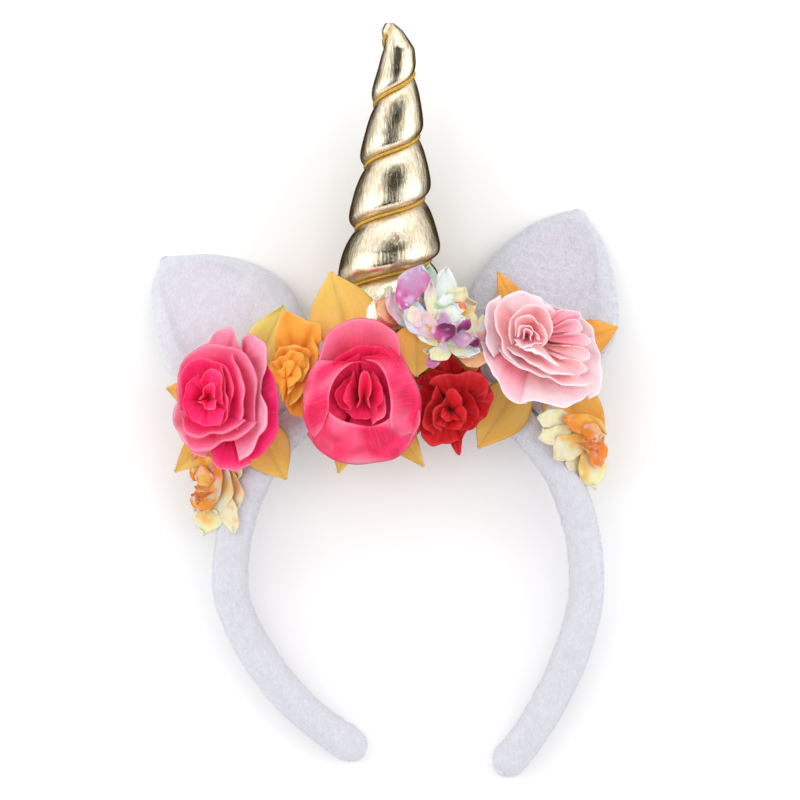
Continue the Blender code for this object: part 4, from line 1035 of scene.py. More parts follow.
def ear_forms(ear, back, rows, columns, blunt=0.0):
    """Front and back of an ear as grids, with how far inside its rim each place is."""
    shares = np.linspace(0, 1, rows + 1)[:, None]
    across = np.sin(np.linspace(-np.pi / 2, np.pi / 2, columns + 1))[None]
    up, right = np.array(direction(ear["points"])), np.array(direction(ear["points"] - 90))
    foot = np.array(beside_band(ear["at"], BAND_THICKNESS / 2))
    turn = math.radians(ear["turn"])

    def on_seat(place):
        return np.array(beside_band(ear["at"] + place * ear["spread"], BAND_THICKNESS / 2 + CLEARANCE))
    ends = [on_seat(side) - foot for side in (-1, 1)]
    left, right_end = (float(end @ right) / ear["width"] / math.cos(turn) for end in ends)
    base = sum(float(end @ up) / ear["length"] for end in ends) / 2
    edges = smooth_table([(base, left, right_end), *ear["outline"]], base + (1 - base) * shares[:, 0])
    middle, wide = (edges[:, :1] + edges[:, 1:]) / 2, (edges[:, 1:] - edges[:, :1]) / 2
    wide = wide * np.sqrt(1 - blunt * ramp(shares, *EAR_TIP) ** 2)
    width = (middle + wide * across) * ear["width"]
    share = base + (1 - base) * shares
    points = foot + up * (share * ear["length"])[..., None] + right * (width * math.cos(turn))[..., None]
    near_seat = fade(shares, EAR_SEAT_REACH) ** 1.5
    seat = np.array([on_seat(place) for place in across[0]])
    points = points + (seat[None] - points[:1]) * near_seat[..., None]
    points[..., 2] -= width * math.sin(turn) + back * np.maximum(share, 0.0) ** EAR_BEND_POWER
    round_side = np.sqrt(1 - np.abs(across) ** EAR_SIDE_POWER)
    round_top = np.sqrt(np.maximum(1 - share ** EAR_TOP_POWER, 0.0))
    half = EAR_THICKNESS / 2 * round_side * np.maximum(round_top, EAR_RIM_SHARE * (shares < 1))
    inside = np.clip(1 - (np.abs(across) / EAR_HOLLOW_REACH) ** 3, 0, 1)
    inside = inside * np.clip((EAR_HOLLOW_TOP - share) / EAR_HOLLOW_FADE, 0, 1) ** 0.7
    hollow = EAR_HOLLOW * inside ** 0.6 * np.sqrt(np.clip(np.sin(np.pi * np.clip(share, 0.02, 1)), 0, 1))
    front, rear = points.copy(), points.copy()
    front[..., 2] += half - hollow
    rear[..., 2] -= half
    return front, rear, np.clip(inside * 1.6, 0, 1) * np.ones_like(width)


def ear_lean(ear):
    """How far an ear leans back until it lies on the floor."""
    near, far = 0.0, ear["length"]
    for _ in range(EAR_TRIALS):
        back = (near + far) / 2
        sides = ear_forms(ear, back, *EAR_TRIAL_MESH)[:2]
        if min((side @ FLOOR_NORMAL).min() for side in sides) > FLOOR_OFFSET:
            near = back
        else:
            far = back
    return back


def ear_cover(name, material):
    """A stuffed ear with soft dents and a few folds at its foot."""
    ear, (rows, columns) = EARS[name], EAR_MESH
    dent, small_dent, fold, seed = 0.0007, 0.00022, 0.0007, ear["seed"]
    front, rear, inside = ear_forms(ear, ear_lean(ear), rows, columns, EAR_BLUNT)
    dents = uneven(front, 0.014, seed) * dent + uneven(front, 0.005, seed) * small_dent
    share = np.linspace(0, 1, rows + 1)[:, None]
    across = np.linspace(-1, 1, columns + 1)[None]
    folds = np.cos(across * 8.5 + seed) * fade(share, 0.42) ** 1.4 * fold
    rim = 1 - np.abs(across) ** 6
    front[..., 2] += (dents + folds) * rim
    rear[..., 2] += dents * 0.6 * rim
    points = np.concatenate([front.reshape(-1, 3), rear.reshape(-1, 3)])
    inner = np.concatenate([inside.reshape(-1), np.zeros(rear.size // 3)])
    half, faces = front.size // 3, []
    for quad in grid_faces(rows + 1, columns + 1):
        faces += [quad, tuple(half + index for index in reversed(quad))]
    for column in range(columns):
        for one in (column, rows * (columns + 1) + column):
            faces.append((one, one + 1, half + one + 1, half + one))
    made = mesh_piece(name + "_cover", points, faces, material, {"inner": inner}, EAR_MERGE)
    flatten(made)
    return made


def horn_lobes():
    """The horn's fine shape from one turn of the cord to the next, as a function."""
    fine = np.linspace(0, 1, HORN_LOBE_STEPS)
    lobe = smooth_table(FINE_LOBE, fine)[:, 0]
    return lambda between: np.interp(between, fine, lobe)


def horn_folds(heights, turns):
    """How far the horn's cloth is in or out, and how tightly the cord gathers it."""
    pleat, lump, small_lump = 0.00034, 0.00030, 0.00012
    between = between_cords(heights, turns)
    tight = np.maximum(fade(between, GATHER_BELOW_CORD), fade(1 - between, GATHER_ABOVE_CORD))
    around = 2 * np.pi * turns
    spots = np.stack([np.cos(around) * 1.6, heights * 60, np.sin(around) * 1.6], axis=-1)
    pleats = np.sin(around * HORN_PLEATS + 5 * uneven(spots, 1.0, 3.0)) * (0.6 + 0.4 * uneven(spots, 0.4, 6.0))
    soft = uneven(spots, 0.55, 8.0) * lump + uneven(spots, 0.22, 1.0) * small_lump
    thin = np.clip(np.interp(heights / HORN_HEIGHT, [0, 1], [1.0, 0.35]), 0.2, 1)
    return (pleats * pleat * tight ** 1.2 + soft * (1 - tight)) * thin, tight


def over_band(points):
    """Keeps the horn's foot on the band's top."""
    tops = np.array([beside_band(angle, BAND_THICKNESS / 2) for angle in np.linspace(-40, 40, 81)])
    tops = np.interp(points[..., 0], tops[:, 0], tops[:, 1])
    over = np.abs(points[..., 2]) < BAND_DEPTH / 2 + HORN_BESIDE_BAND
    points[..., 1] = np.where(over, np.maximum(points[..., 1], tops + CLEARANCE), points[..., 1])


def horn_cover(material):
    """The stuffed lame cone as a skin that winds down it, gathered where the cord draws it in."""
    rows, columns = HORN_MESH
    low = math.floor((CORD_TURN_AT_LEFT - HORN_HEIGHT) / CORD_PITCH) - 2
    high = math.ceil(CORD_TURN_AT_LEFT / CORD_PITCH) + 2
    count = (high - low) * rows
    turns = -0.25 + np.arange(columns)[:, None] / columns + np.zeros((1, count))
    share = low + np.arange(count)[None] / rows
    heights = CORD_TURN_AT_LEFT - share * CORD_PITCH - (turns - 0.5) * CORD_PITCH
    heights = np.clip(heights, 0.0, HORN_HEIGHT)
    out, tight = horn_folds(heights, turns)
    points = horn_points(heights, turns, horn_lobes(), out)
    over_band(points)
    faces = []
    for column in range(columns):
        after = (column + 1) % columns
        slip = rows if after == 0 else 0
        for row in range(slip, count - 1):
            one, two = column * count + row, after * count + row - slip
            faces.append((one, one + 1, two + 1, two))
    # This mark also gives the lame its painted shade and warm painted glow by the cord
    marks = {"gather_and_shade": tight.reshape(-1)}
    made = mesh_piece("horn_cover", points.reshape(-1, 3), faces, material, marks, HORN_MERGE)

    def closed(shape):
        ends = [edge for edge in shape.edges if edge.is_boundary]
        bmesh.ops.holes_fill(shape, edges=ends, sides=0)
    reshape(made.data, closed)
    flatten(made)
    return made


def wound_cord(material):
    """The gold cord in the horn's groove, from its tip to its foot."""
    top, foot = (cord_turns(share * HORN_HEIGHT) for share in (CORD_TOP_SHARE, CORD_FOOT_SHARE))
    turns = np.linspace(top, foot, CORD_STEPS)
    groove = FINE_LOBE[0][1]
    line = horn_points(cord_heights(turns), turns, lambda share: share * 0 + groove, CORD_DIAMETER * CORD_OUT)
    line = to_lying(line)
    line[:, 2] = np.maximum(line[:, 2], CORD_DIAMETER / 2)
    curve = bpy.data.curves.new("cord_path", "CURVE")
    curve.dimensions = "3D"
    curve.twist_mode = "MINIMUM"
    spline = curve.splines.new("POLY")
    spline.points.add(len(line) - 1)
    spline.points.foreach_set("co", np.concatenate([line, np.ones((len(line), 1))], axis=1).reshape(-1))
    path = add_object("cord_path", curve)
    cord_growth(material).use(path, Strand_thickness=CORD_DIAMETER * STRAND_THICK,
                              Off_the_middle=CORD_DIAMETER * STRAND_OFF, Twist_length=CORD_TWIST_LENGTH)
    made = add_object("wound_cord", final_mesh(path))
    bpy.data.objects.remove(path)
    return made


# ---------------------------------------------------------------- flowers
def seat_of(name):
    """The middle of a flower's seat, the way it faces, measured on its CAD node, and its depth."""
    seat = SEATS[name]
    middle = np.array(beside_band(seat["at"], seat["out"] * BAND_THICKNESS))
    axis = Vector((0.0, 0.0, 1.0)).cross(direction(seat["toward"]))
    faces = np.array(Matrix.Rotation(math.radians(seat["tilt"]), 3, axis) @ Vector((0.0, 0.0, 1.0)))
    reach = ((cad_points(name) - middle) @ faces).max()
    middle[2] = (reach - seat["deep"] - SEAT_SUNK) / faces[2]
    return middle, faces, seat["deep"]


def on_flower(place, seat):
    """Places across the photo, at a share of the flower's depth above its tilted seat."""
    middle, faces, deep = seat
    place = np.asarray(place, float)
    beside = (place[..., :2] - PHOTO_MIDDLE) * (PHOTO_SCALE, -PHOTO_SCALE)
    up = middle[2] + (place[..., 2] * deep - (beside - middle[:2]) @ faces[:2]) / faces[2]
    return np.concatenate([beside, up[..., None]], axis=-1)


def rim_on_flower(rim, seat, count):
    return smooth_line([on_flower(place, seat) for place in rim], count)


def oval_form(row, seat, number, rows=18, columns=17):
    """A small petal cut as a broad uneven oval, nearly flat, with a ruffled edge and a crease from its foot."""
    broad, edge_lift, ruffle_size, crease_depth = 1.32, 0.02, 0.075, 0.05
    across, down, points, long, wide, low, high = row[:7]
    phase = start_phase(OVAL_SEED + number)
    turn, side = np.linspace(0.0, math.pi, rows)[:, None], np.linspace(-1, 1, columns)[None]
    up = (1 - np.cos(turn)) / 2
    uneven_cut = 1 + 0.09 * np.sin(turn * 3 + phase + side) + 0.05 * np.sin(turn * 7 - phase + side * 2)
    half = wide / 2 * broad * np.maximum(np.sin(turn), 0.02) * (0.62 + 0.38 * up) * uneven_cut
    bend = 0.10 * wide * np.sin(up * 4 + phase)
    way = math.radians(points)
    reach = (up * 1.12 - 0.06) * long * (1 - 0.10 * side ** 2 * up)
    east = across + math.cos(way) * reach - math.sin(way) * (side * half + bend)
    south = down - math.sin(way) * reach - math.cos(way) * (side * half + bend)
    height = low + (high - low) * np.sin(up * np.pi / 2) + 0 * side
    grid = on_flower(np.stack([east, south, height], axis=-1), seat)
    edge = np.abs(side) ** 1.5 * np.sin(turn) + up ** 3
    ruffle = np.sin(up * 9 * np.sign(side) + side * 2 + phase) + 0.7 * np.sin(up * 17 + side * 6 + phase * 2)
    crease = crease_depth * np.exp(-(side * 7) ** 2) * (1 - up * 0.7)
    grid[..., 2] += wide * PHOTO_SCALE * (edge_lift * edge + ruffle_size * edge * ruffle - crease)
    return grid, up, np.linspace(0, 1, columns)[None]


def rolled_lip(grid, lip, sides, waves, away, rows=8):
    """Rows that go on from a petal's rim and roll outward."""
    span, rise = unit(np.gradient(grid[-1], axis=0)), unit(grid[-1] - grid[-2])
    out = unit(np.cross(span, rise))
    facing = out @ np.array([0.0, 0.0, -0.6]) + (out * away).sum(axis=1)
    out *= np.sign(facing.mean() if abs(facing.mean()) > 1e-6 else 1.0)
    radius = (lip * sides * (1 + 0.25 * waves))[:, None]
    roll = []
    for step in range(1, rows + 1):
        angle = step / rows * math.radians(LIP_TURN)
        roll.append(grid[-1] + radius * (math.sin(angle) * rise + (1 - math.cos(angle)) * out))
    return np.array(roll)


def petal_form(petal, seat, number, rows=16):
    """One petal as a grid from its foot to its rim and round its rolled lip."""
    fold_size, small_fold, wave_size, small_wave, crumple = 0.00050, 0.00024, 0.00075, 0.00026, 0.0010
    _, lip, cup, foot, *rim = petal
    columns = SMALL_PETAL_COLUMNS if len(rim) < SMALL_PETAL_PLACES else PETAL_COLUMNS
    lip, count = lip * LIP, 1.6 + len(rim) * 0.7
    rim, foot = rim_on_flower(rim, seat, columns), on_flower(foot, seat)
    along = np.linspace(0, 1, columns)
    sides = 0.30 + 0.70 * np.sin(np.pi * along) ** 0.5
    away = unit((rim - foot) * (1.0, 1.0, 0.0))
    rim = rim - away * (lip * 1.2 * sides)[:, None]
    start = foot + away * 0.0003
    axis = unit(away.mean(axis=0))
    reach = (rim - start) * (1.0, 1.0, 0.0)
    ahead = (reach @ axis)[:, None] * axis
    up = np.linspace(0, 1, rows)[:, None, None]
    grid = start[None] + ahead[None] * (1 - (1 - up) ** 1.12) + (reach - ahead)[None] * up ** 0.8
    up = up[..., 0]
    grid[..., 2] = start[:, 2] + (rim - start)[:, 2] * up ** (cup * 0.45)
    phase = start_phase(PETAL_SEED + number)
    bends = along * count
    fold = np.sin(bends * 2.4 + phase) * fold_size + np.sin(bends * 5.6 + phase * 2) * small_fold
    grid[..., 2] += fold[None] * np.sin(np.pi * up) ** 0.7
    grid[..., 2] += uneven(grid, 0.0060, number * 2.3 + 60) * crumple * np.sin(np.pi * up * 0.85) ** 0.7
    wave = np.sin(bends * 1.5 + phase * 3) * wave_size + np.sin(bends * 4.1 + phase) * small_wave
    grid[..., 2] += wave[None] * up ** 4
    grid += away[None] * (wave[None] * up ** 5 * 0.9)[..., None]
    lips = rolled_lip(grid, lip, sides, np.sin(bends * 2.2 + phase), away)
    share = np.concatenate([np.linspace(0, 0.80, rows), np.linspace(0.83, 1, len(lips))])
    return np.concatenate([grid, lips]), share[:, None], fold[None]


def slanting_folds(up, along, number):
    """The wide folds of a wrapped petal, from -1 to 1, and their phase."""
    phase = start_phase(PETAL_SEED + number)
    return np.sin(along * 11 + up * 2.4 + phase), phase


def wrapped_form(petal, seat, number, rows=26, columns=34):
    """A petal seen from outside, from its hem up and over to its rim."""
    fold_size, small_fold, crumple, rim_rise, side_fall = 0.0009, 0.00035, 0.0012, 0.0007, 0.0014
    hem, rim = (rim_on_flower(line, seat, columns) for line in petal[1:])
    up, along = np.linspace(0, 1, rows)[:, None], np.linspace(0, 1, columns)[None]
    grid = hem[None] + (rim - hem)[None] * up[..., None]
    grid[..., 2] = hem[:, 2] + (rim - hem)[:, 2] * np.sin(up * np.pi / 2) ** 0.75
    folds, phase = slanting_folds(up, along, number)
    folds = folds * fold_size + np.sin(along * 23 - up * 1.6 + phase * 2) * small_fold
    grid[..., 2] += (folds + uneven(grid, 0.0065, number * 2.3) * crumple) * np.sin(np.pi * up * 0.9) ** 0.8
    grid[..., 2] += rim_rise * up ** 9 - side_fall * np.abs(2 * along - 1) ** 8
    return grid, up, along


def mixed(one, two, share):
    return one + (two - one) * share


def oval_dye(pair, up, along, number, grid):
    """The colour of each place on a small petal: from one dye to the other, with a stain of a third."""
    random = np.random.default_rng(PETAL_DYE_SEED + number)
    one, two = (np.array(DYES[dye]) for dye in pair)
    stain = uneven(grid, 0.0038, number * 3.1) * 0.9
    mix = (along - 0.5) * 0.7 + (up - 0.5) * 1.5 + 0.5 + stain + random.uniform(-0.1, 0.1)
    mix = np.clip(mix, 0, 1)[..., None]
    colour = one + (two - one) * mix * mix * (3 - 2 * mix)
    other = np.array(DYES[random.choice(("frost", "lemon", "blush", "peach", "sky"))])
    touch = np.clip(uneven(grid, 0.0030, number * 1.7 + 40) * 2.2 - 0.25, 0, 0.55)[..., None]
    colour = mixed(colour, other, touch)
    pale = ramp(up, 0.9, 0.1)[..., None] * 0.25
    return colour * (1 - pale) + pale * 0.85


def wrapped_dye(name, up, along, number, grid):
    """The colour of each place on a wrapped petal: painted highlight on its folds' crests, pale at its rim, and
    painted shade between the folds and at its hem.
    """
    deep, body, edge = (np.array(dye) for dye in ROSE_DYES[name])
    crest, _ = slanting_folds(up, along, number)
    # Painted highlight on the folds' crests, with random paler patches, paler by the hem and at the rim
    pale = 0.10 + 0.60 * uneven(grid, 0.0090, number * 1.9) + 0.26 * crest + 0.20 * np.clip(1 - up * 3, 0, 1)
    pale = np.clip(pale + 0.5 * ramp(up, 0.90, 0.08), 0, 0.75)[..., None]
    # Painted shade between the folds and at the hem
    shadow = np.clip(uneven(grid, 0.0065, number * 4.1) * 1.6 - 0.35 * crest - 0.05, 0, 0.65)
    painted_shade = np.maximum(fade(up, 0.05), shadow)[..., None] * 0.6
    return mixed(body, edge, pale) * (1 - painted_shade) + deep * painted_shade


def rose_dye(name, tone, up, fold, number):
    """The colour of each place on a rose's petal, from its foot to its rim. Its deep foot colour is partly dye
    and partly painted shade where the petal goes down into the flower, and its folds bring painted shade into
    their hollows and lighter colour onto their crests.
    """
    fold_size, fold_shade_shift = 0.0006, 0.05
    random = np.random.default_rng(PETAL_DYE_SEED + number)
    deep, body, edge = (np.array(dye) for dye in ROSE_DYES[name])
    if tone == "pale" and name == "rose_left":
        edge = mixed(edge, np.array(PALE_RIM), 0.6)
    low, high = TONES[tone]
    if name == "rose_blush":
        low, high = low * 0.8, high * 0.62
    start = (low + high) / 2
    # Painted shade and highlight: the folds shift the colour, darker in their hollows, lighter on their crests
    height = up + fold / fold_size * fold_shade_shift * (1 - up)
    # Painted shade: the deep foot colour, strongest where the petal goes down into the flower
    to_body = np.clip(height / max(low, 0.05), 0, 1)[..., None] ** 1.3
    to_edge = ramp(height, start, max(1.05 - start, 0.1))[..., None]
    to_edge = to_edge ** (1.0 if tone in ("pale", "rim") else 1.4)
    if name in ("rose_left", "rose_centre"):
        to_edge = to_edge * RIM_SHARES.get(tone, 1.0)
    colour = mixed(mixed(deep, body, to_body), edge, to_edge)
    if tone == "rosy":
        colour = colour * (1 - 0.5 * np.array([0.0, 0.55, 0.30]) * (1 - to_edge))
    if name != "rose_blush":
        line = ramp(up, 0.945, 0.03)[..., None] * 0.6
        colour = colour * (1 - line) + deep * 0.8 * line
    return colour * random.uniform(0.93, 1.05)


def cut_place(grid):
    """Where each place of a sheet lay on the flat cloth, in metres across and along."""
    across = np.linalg.norm(np.diff(grid, axis=1), axis=-1).mean(axis=0).cumsum()
    along = np.linalg.norm(np.diff(grid, axis=0), axis=-1).mean(axis=1).cumsum()
    across, along = np.concatenate([[0], across]), np.concatenate([[0], along])
    return np.stack(np.broadcast_arrays(across[None], along[:, None]), axis=-1)


def cloth_piece(name, sheets, material, thickness):
    """Sheets of thin cloth, as (grid, dye), joined into one piece, with the area they were cut from."""
    points, faces, colours, cuts, area = [], [], [], [], 0.0
    for number, (grid, dye) in enumerate(sheets):
        rows, columns = grid.shape[:2]
        faces += grid_faces(rows, columns, sum(len(part) for part in points))
        flat = cut_place(grid).reshape(-1, 2)
        cuts.append(np.concatenate([flat, np.full((len(flat), 2), CUT_SPACING * number)], axis=1))
        points.append(grid.reshape(-1, 3))
        colours.append(np.concatenate([dye.reshape(-1, 3), np.ones((rows * columns, 1))], axis=1))
        one, two = grid[1:, :-1] - grid[:-1, :-1], grid[:-1, 1:] - grid[:-1, :-1]
        area += float(np.linalg.norm(np.cross(one, two), axis=-1).sum())
    marks = {"dye": np.concatenate(colours), "cut": np.concatenate(cuts)}
    made = mesh_piece(name, np.concatenate(points), faces, material, marks)
    wall = made.modifiers.new("cloth", "SOLIDIFY")
    wall.thickness = thickness
    wall.offset = 0.0
    settle(made)
    flatten(made)
    return made, area


def under_cup(name, seat):
    """The cup of cloth under a flower, down to its seat: seen only from the side, and darkened toward its foot
    and core as painted shade.
    """
    rose = name in PETALS
    middle = (seat[0][:2] / (PHOTO_SCALE, -PHOTO_SCALE)) + PHOTO_MIDDLE
    rims = [smooth_line(petal[1] if petal[0] == "wrapped" else petal[4:], 24) for petal in PETALS.get(name, ())]
    for across, down, points, long, _, _, high, *_ in OVALS.get(name, ()):
        way = math.radians(points)
        rims.append([(across + math.cos(way) * long * 0.8, down - math.sin(way) * long * 0.8, high)])
    spots = np.concatenate(rims)
    ways = np.arctan2(spots[:, 1] - middle[1], spots[:, 0] - middle[0])
    reach = np.linalg.norm(spots[:, :2] - middle, axis=1)
    round_it = np.linspace(0, 2 * np.pi, 49)[None]
    apart = (ways[:, None] - round_it + np.pi) % (2 * np.pi) - np.pi
    near = np.exp(-(apart / 0.3) ** 2)
    far = ((near * reach[:, None] ** 8).sum(axis=0) / near.sum(axis=0)) ** (1 / 8)
    top, full, core = ROSE_CUP if rose else SMALL_CUP
    up = np.linspace(0, np.pi / 2, 12)[:, None]
    share = (CUP_FOOT + (full - CUP_FOOT) * np.sin(up)) * far[None]
    height = top * (1 - np.cos(up)) - CUP_SUNK * np.cos(up) ** 8 + 0 * round_it
    core_share, core_height = np.array(CUP_CORE).T[..., None]
    share = np.concatenate([core_share * far[None], share])
    height = np.concatenate([core_height * core + 0 * round_it, height])
    up = np.concatenate([np.zeros((len(core_share), 1)), up])
    flutes = 1 + 0.03 * np.sin(round_it * 5) * np.sin(up)
    east, south = (middle[k] + wave(round_it) * share * flutes for k, wave in enumerate((np.cos, np.sin)))
    grid = on_flower(np.stack([east, south, height], axis=-1), seat)
    colour = np.array(ROSE_DYES[name][1] if rose else DYES[CUP_DYES[name]])
    # Painted shade: the cup darkens toward its foot and its core, under the petals
    return grid, colour * (0.62 + 0.38 * np.sin(up))[..., None] + 0 * grid


def flower(name, material):
    """A flower's cup and petals, joined into one piece of cut cloth."""
    seat = seat_of(name)
    sheets = [under_cup(name, seat)]
    for number, petal in enumerate(PETALS.get(name, ())):
        number += SEEDS_PER_FLOWER * list(PETALS).index(name)
        if petal[0] == "wrapped":
            grid, up, along = wrapped_form(petal, seat, number)
            sheets.append((grid, wrapped_dye(name, up, along, number, grid)))
        else:
            grid, up, fold = petal_form(petal, seat, number)
            sheets.append((grid, rose_dye(name, petal[0], up, fold, number)))
    for number, row in enumerate(OVALS.get(name, ())):
        number += SEEDS_PER_FLOWER * list(OVALS).index(name)
        grid, up, along = oval_form(row, seat, number)
        sheets.append((grid, oval_dye(row[7:], up, along, number, grid)))
    made, area = cloth_piece(name + "_petals", sheets, material, PETAL_THICKNESS)
    place_piece(made, name, slot=name if name in SIZES else "blossom")


# ---------------------------------------------------------------- leaves
def leaf_form(length, width, points, lift, number):
    """A pointed leaf that springs from the origin, creased along its middle, with a slightly wavy edge."""
    rows, columns, wave, vein = 30, 17, 0.0007, 0.00008
    along = np.linspace(0, 1, rows)[:, None]
    across = np.linspace(-1, 1, columns)[None]
    off = np.abs(across)
    half = width / 2 * np.maximum(np.sin(np.pi * along ** LEAF_SHOULDER), LEAF_STEM)
    phase = start_phase(LEAF_SEED + number)
    rise = LEAF_FOLD * half * off ** 0.8 - LEAF_DROOP * length * along ** 2
    rise = rise + np.sin(along * 11 + phase + across) * wave * off ** 1.5
    veins = np.sin((along - off * 0.22) * 58) * vein * np.clip(off * 4, 0, 1)
    grid = np.stack([along * length + 0 * across, across * half, rise + veins], axis=-1)
    turned = Matrix.Rotation(math.radians(points), 3, "Z") @ Matrix.Rotation(math.radians(-lift), 3, "Y")
    return grid @ np.array(turned).T, along, across


def leaf_dye(stem_dye, tip_dye, along, across, number):
    """The colour of each place on a leaf, with painted shade along its crease, and darker at its edge."""
    one, two = np.array(LEAF_DYES[stem_dye]), np.array(LEAF_DYES[tip_dye])
    start = np.random.default_rng(LEAF_DYE_SEED + number).uniform(-0.1, 0.1)
    shade = np.clip(along * 1.1 - 0.05 + start + across * 0.15, 0, 1)[..., None]
    # Painted shade along the leaf's crease
    crease = 0.16 * np.clip(1 - np.abs(across) * 6, 0, 1)[..., None]
    edge = 0.18 * np.clip((np.abs(across) - 0.9) * 10, 0, 1)[..., None]
    return mixed(one, two, shade) * (1 - crease - edge)


def leaf_stem(name, grid):
    """A narrow strip from a leaf's foot to the middle of the flower that carries it, and its length."""
    half_width, sag = 0.0008, 0.0006
    middle, faces, _ = seat_of(name)
    foot, end = grid[0, grid.shape[1] // 2], middle - faces * STEM_SUNK
    up, side = np.linspace(0, 1, 8)[:, None, None], np.linspace(-half_width, half_width, 3)[None, :, None]
    across = unit(np.cross(end - foot, (0.0, 0.0, 1.0)))
    stem = foot + (end - foot) * up + across * side - np.array([0.0, 0.0, sag]) * np.sin(np.pi * up)
    return stem, float(distances(stem[:, 1])[-1])


def leaf_piece(name, nodes, of, grid, colour, material):
    """A leaf with its stem, as one piece of cloth."""
    stem, stem_length = leaf_stem(of, grid)
    sheets = [(grid, colour), (stem, 0 * stem + colour[0, 0] * 0.7)]
    made, area = cloth_piece(name, sheets, material, LEAF_THICKNESS)
    place_piece(made, *nodes, slot="leaf")


def leaf(name, material):
    """A cloth leaf where its CAD node lies."""
    of, points, start, long, wide, lift, stem_dye, tip_dye = LEAVES[name]
    number, length, width = list(LEAVES).index(name), LEAF_LENGTH * long, LEAF_WIDTH * wide
    grid, along, across = leaf_form(length, width, points, lift, number)
    way, seat, size = direction(points), SEATS[of], SIZES[of]
    grid += np.array(beside_band(seat["at"], seat["out"] * BAND_THICKNESS))
    grid += np.array([way.x * size[0], way.y * size[1], 0.0]) * start / 2
    grid[..., 2] += cad_points(name)[:, 2].max() - LEAF_SUNK - grid[..., 2].max()
    colour = leaf_dye(stem_dye, tip_dye, along, across, number)
    leaf_piece(name.replace("leaf", "cloth_leaf"), [name], of, grid, colour, material)


def hanging_leaf(material):
    """The leaf that hangs in front of the horn's foot, held under the hydrangea."""
    across, down, points, length, width, high, low = HANGING_LEAF
    grid, along, side = leaf_form(length, width, points, 0.0, HANGING_LEAF_NUMBER)
    grid += on_photo(across, down, high)
    grid[..., 2] += (low - high) * along
    colour = leaf_dye("amber", "honey", along, side, HANGING_LEAF_NUMBER)
    leaf_piece("cloth_leaf_hanging", [], "hydrangea", grid, colour, material)


def stamens(name, blossom, aim, tree, seed):
    """The tuft of a blossom, standing where its CAD node stands."""
    holder = add_object(name + "_tuft", bpy.data.meshes.new(name))
    tree.use(holder, Seed=seed, Spread=0.42)
    settle(holder)
    _, faces, _ = seat_of(blossom)
    points = cad_points(name)
    middle = points.mean(axis=0)
    foot = middle + faces * float(((points - middle) @ faces).min())
    way = Vector(unit(faces + np.array(aim)))
    turn = Vector((0.0, 0.0, 1.0)).rotation_difference(way).to_matrix().to_4x4()
    holder.data.transform(LYING @ Matrix.Translation(foot) @ turn)
    flatten(holder)
    place_piece(holder, name, slot="stamens")


# ---------------------------------------------------------------- camera, floor and light
FLOOR_SIDE = 3
CAMERA_AWAY = 4.0
SENSOR_WIDTH = 36.0
PHOTO_SIDE = 800
SKY_STRENGTH = 0.95
EXPOSURE = 0.1
# How bright the surroundings are from straight below to straight above; the darkest of them are warm
SKY = ((0.0, 0.08), (0.28, 0.10), (0.37, 0.72), (0.56, 1.12), (0.82, 1.20), (0.875, 0.05), (0.905, 0.008))
WARM_BELOW = 0.15
# Lamps: where each stands, its two sides and its power
LAMPS = {
    "softbox_left": ((-1.0, 0.05, 0.85), (0.9, 1.5), 5.5),
    "softbox_right": ((1.0, 0.05, 0.85), (0.9, 1.5), 5.0),
    "softbox_top": ((0.0, 1.15, 1.0), (1.2, 0.7), 2.6),
    "softbox_low": ((0.0, -1.15, 1.0), (1.2, 0.7), 0.6),
    "fill_above": ((0.0, 0.05, 1.5), (1.6, 1.6), 7.0),
}


def pale_floor():
    mesh = bpy.data.meshes.new("floor")
    corners = ((-1, -1), (1, -1), (1, 1), (-1, 1))
    mesh.from_pydata([(x * FLOOR_SIDE, y * FLOOR_SIDE, 0) for x, y in corners], [], [(0, 1, 2, 3)])
    look = Look("pale_floor", Roughness=0.9, Base_Color=(0.97, 0.97, 0.97, 1.0), Specular_IOR_Level=0.1)
    mesh.materials.append(look.material)
    ground = add_object("floor", mesh)
    ground.visible_glossy = False


def surroundings():
    world = bpy.data.worlds.new("studio")
    bpy.context.scene.world = world
    world.use_nodes = True
    sky = Steps(world.node_tree)
    way = sky.step("ShaderNodeSeparateXYZ", sky.step("ShaderNodeTexCoord")["Generated"])
    level = sky.step("ShaderNodeMapRange", Value=way["Z"], From_Min=-1.0)["Result"]
    light = sky.step("ShaderNodeValToRGB", Fac=level)["Color"]
    elements = light.node.color_ramp.elements
    while len(elements) < len(SKY):
        elements.new(0.5)
    for element, (place, bright) in zip(elements, SKY):
        element.position = place
        tint = (1.0, 0.74, 0.45) if bright < WARM_BELOW else (1.0, 1.0, 1.01)
        element.color = (*(bright * part for part in tint), 1.0)
    background = world.node_tree.nodes["Background"].inputs
    sky.feed(background["Color"], light)
    sky.feed(background["Strength"], SKY_STRENGTH)


def lamps():
    for name, (place, size, power) in LAMPS.items():
        light = bpy.data.lights.new(name, "AREA")
        light.shape = "RECTANGLE"
        light.size, light.size_y, light.energy = *size, power
        lamp = add_object(name, light)
        lamp.location = place
        lamp.rotation_euler = (Vector((0, 0, 0)) - Vector(place)).to_track_quat("-Z", "Y").to_euler()
        lamp.visible_glossy = name != "fill_above"


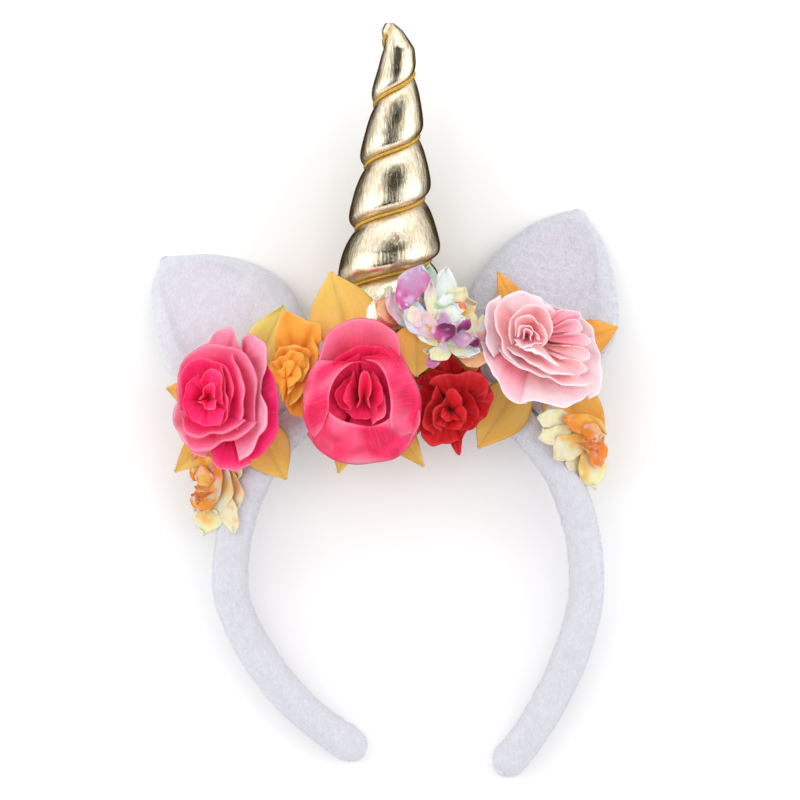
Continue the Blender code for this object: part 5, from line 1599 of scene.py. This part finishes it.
def camera():
    """Looks straight at the worn front from afar, so that the picture fits the photo."""
    view = bpy.data.cameras.new("camera")
    view.sensor_width = SENSOR_WIDTH
    view.lens = SENSOR_WIDTH * CAMERA_AWAY / (PHOTO_SIDE * PHOTO_SCALE)
    view.clip_end = 20.0
    made = add_object("camera", view)
    middle = on_photo(PHOTO_SIDE / 2, PHOTO_SIDE / 2)
    made.matrix_world = LYING @ Matrix.Translation((middle[0], middle[1], CAMERA_AWAY))
    scene = bpy.context.scene
    scene.camera = made
    scene.view_settings.view_transform = "Standard"
    scene.view_settings.exposure = EXPOSURE


pale_floor()
surroundings()
lamps()
camera()

plush = plush_look("white_plush", (0.67, 0.68, 0.74), (0.715, 0.695, 0.775))
nap = nap_growth(plush_look("plush_fibre", (0.74, 0.745, 0.79), (0.68, 0.65, 0.73)))
cover = band_cover(plush)
place_piece(cover, "band", slot="plush")
add_nap(cover, nap, Fibres_per_square_metre=2.0e6, Fibre_length=0.0009, Fibre_width=0.00009, Seed=4)
for name, ear in EARS.items():
    cover = ear_cover(name, plush)
    place_piece(cover, name, slot="plush")
    add_nap(cover, nap, Fibres_per_square_metre=2.6e6, Fibre_length=0.0011, Fibre_width=0.00009,
            Seed=ear["seed"])

horn = horn_cover(gold_cloth_look("gold_lame_cloth"))
place_piece(horn, "horn", slot="gold_lame")
place_piece(wound_cord(gold_cord_look("gold_cord_metal")), "horn_cord", slot="gold_cord")

leaf_cloth = petal_look("leaf_cloth", 0.5, 0.05, 0.14)
for name in LEAVES:
    leaf(name, leaf_cloth)
hanging_leaf(leaf_cloth)
petal_cloth = petal_look("petal_cloth")
for name in SEATS:
    flower(name, petal_cloth)
thread_look = plain_look("stamen_thread", (0.85, 0.36, 0.10), 0.5)
bead_look = plain_look("stamen_bead", (0.72, 0.20, 0.04), 0.45)
tuft = tuft_growth(thread_look, bead_look)
stamens("stamens_left", "blossom_left", (-0.35, 0.0, 0.0), tuft, 4)
stamens("stamens_right", "blossom_right", (0.5, 0.0, 0.0), tuft, 9)
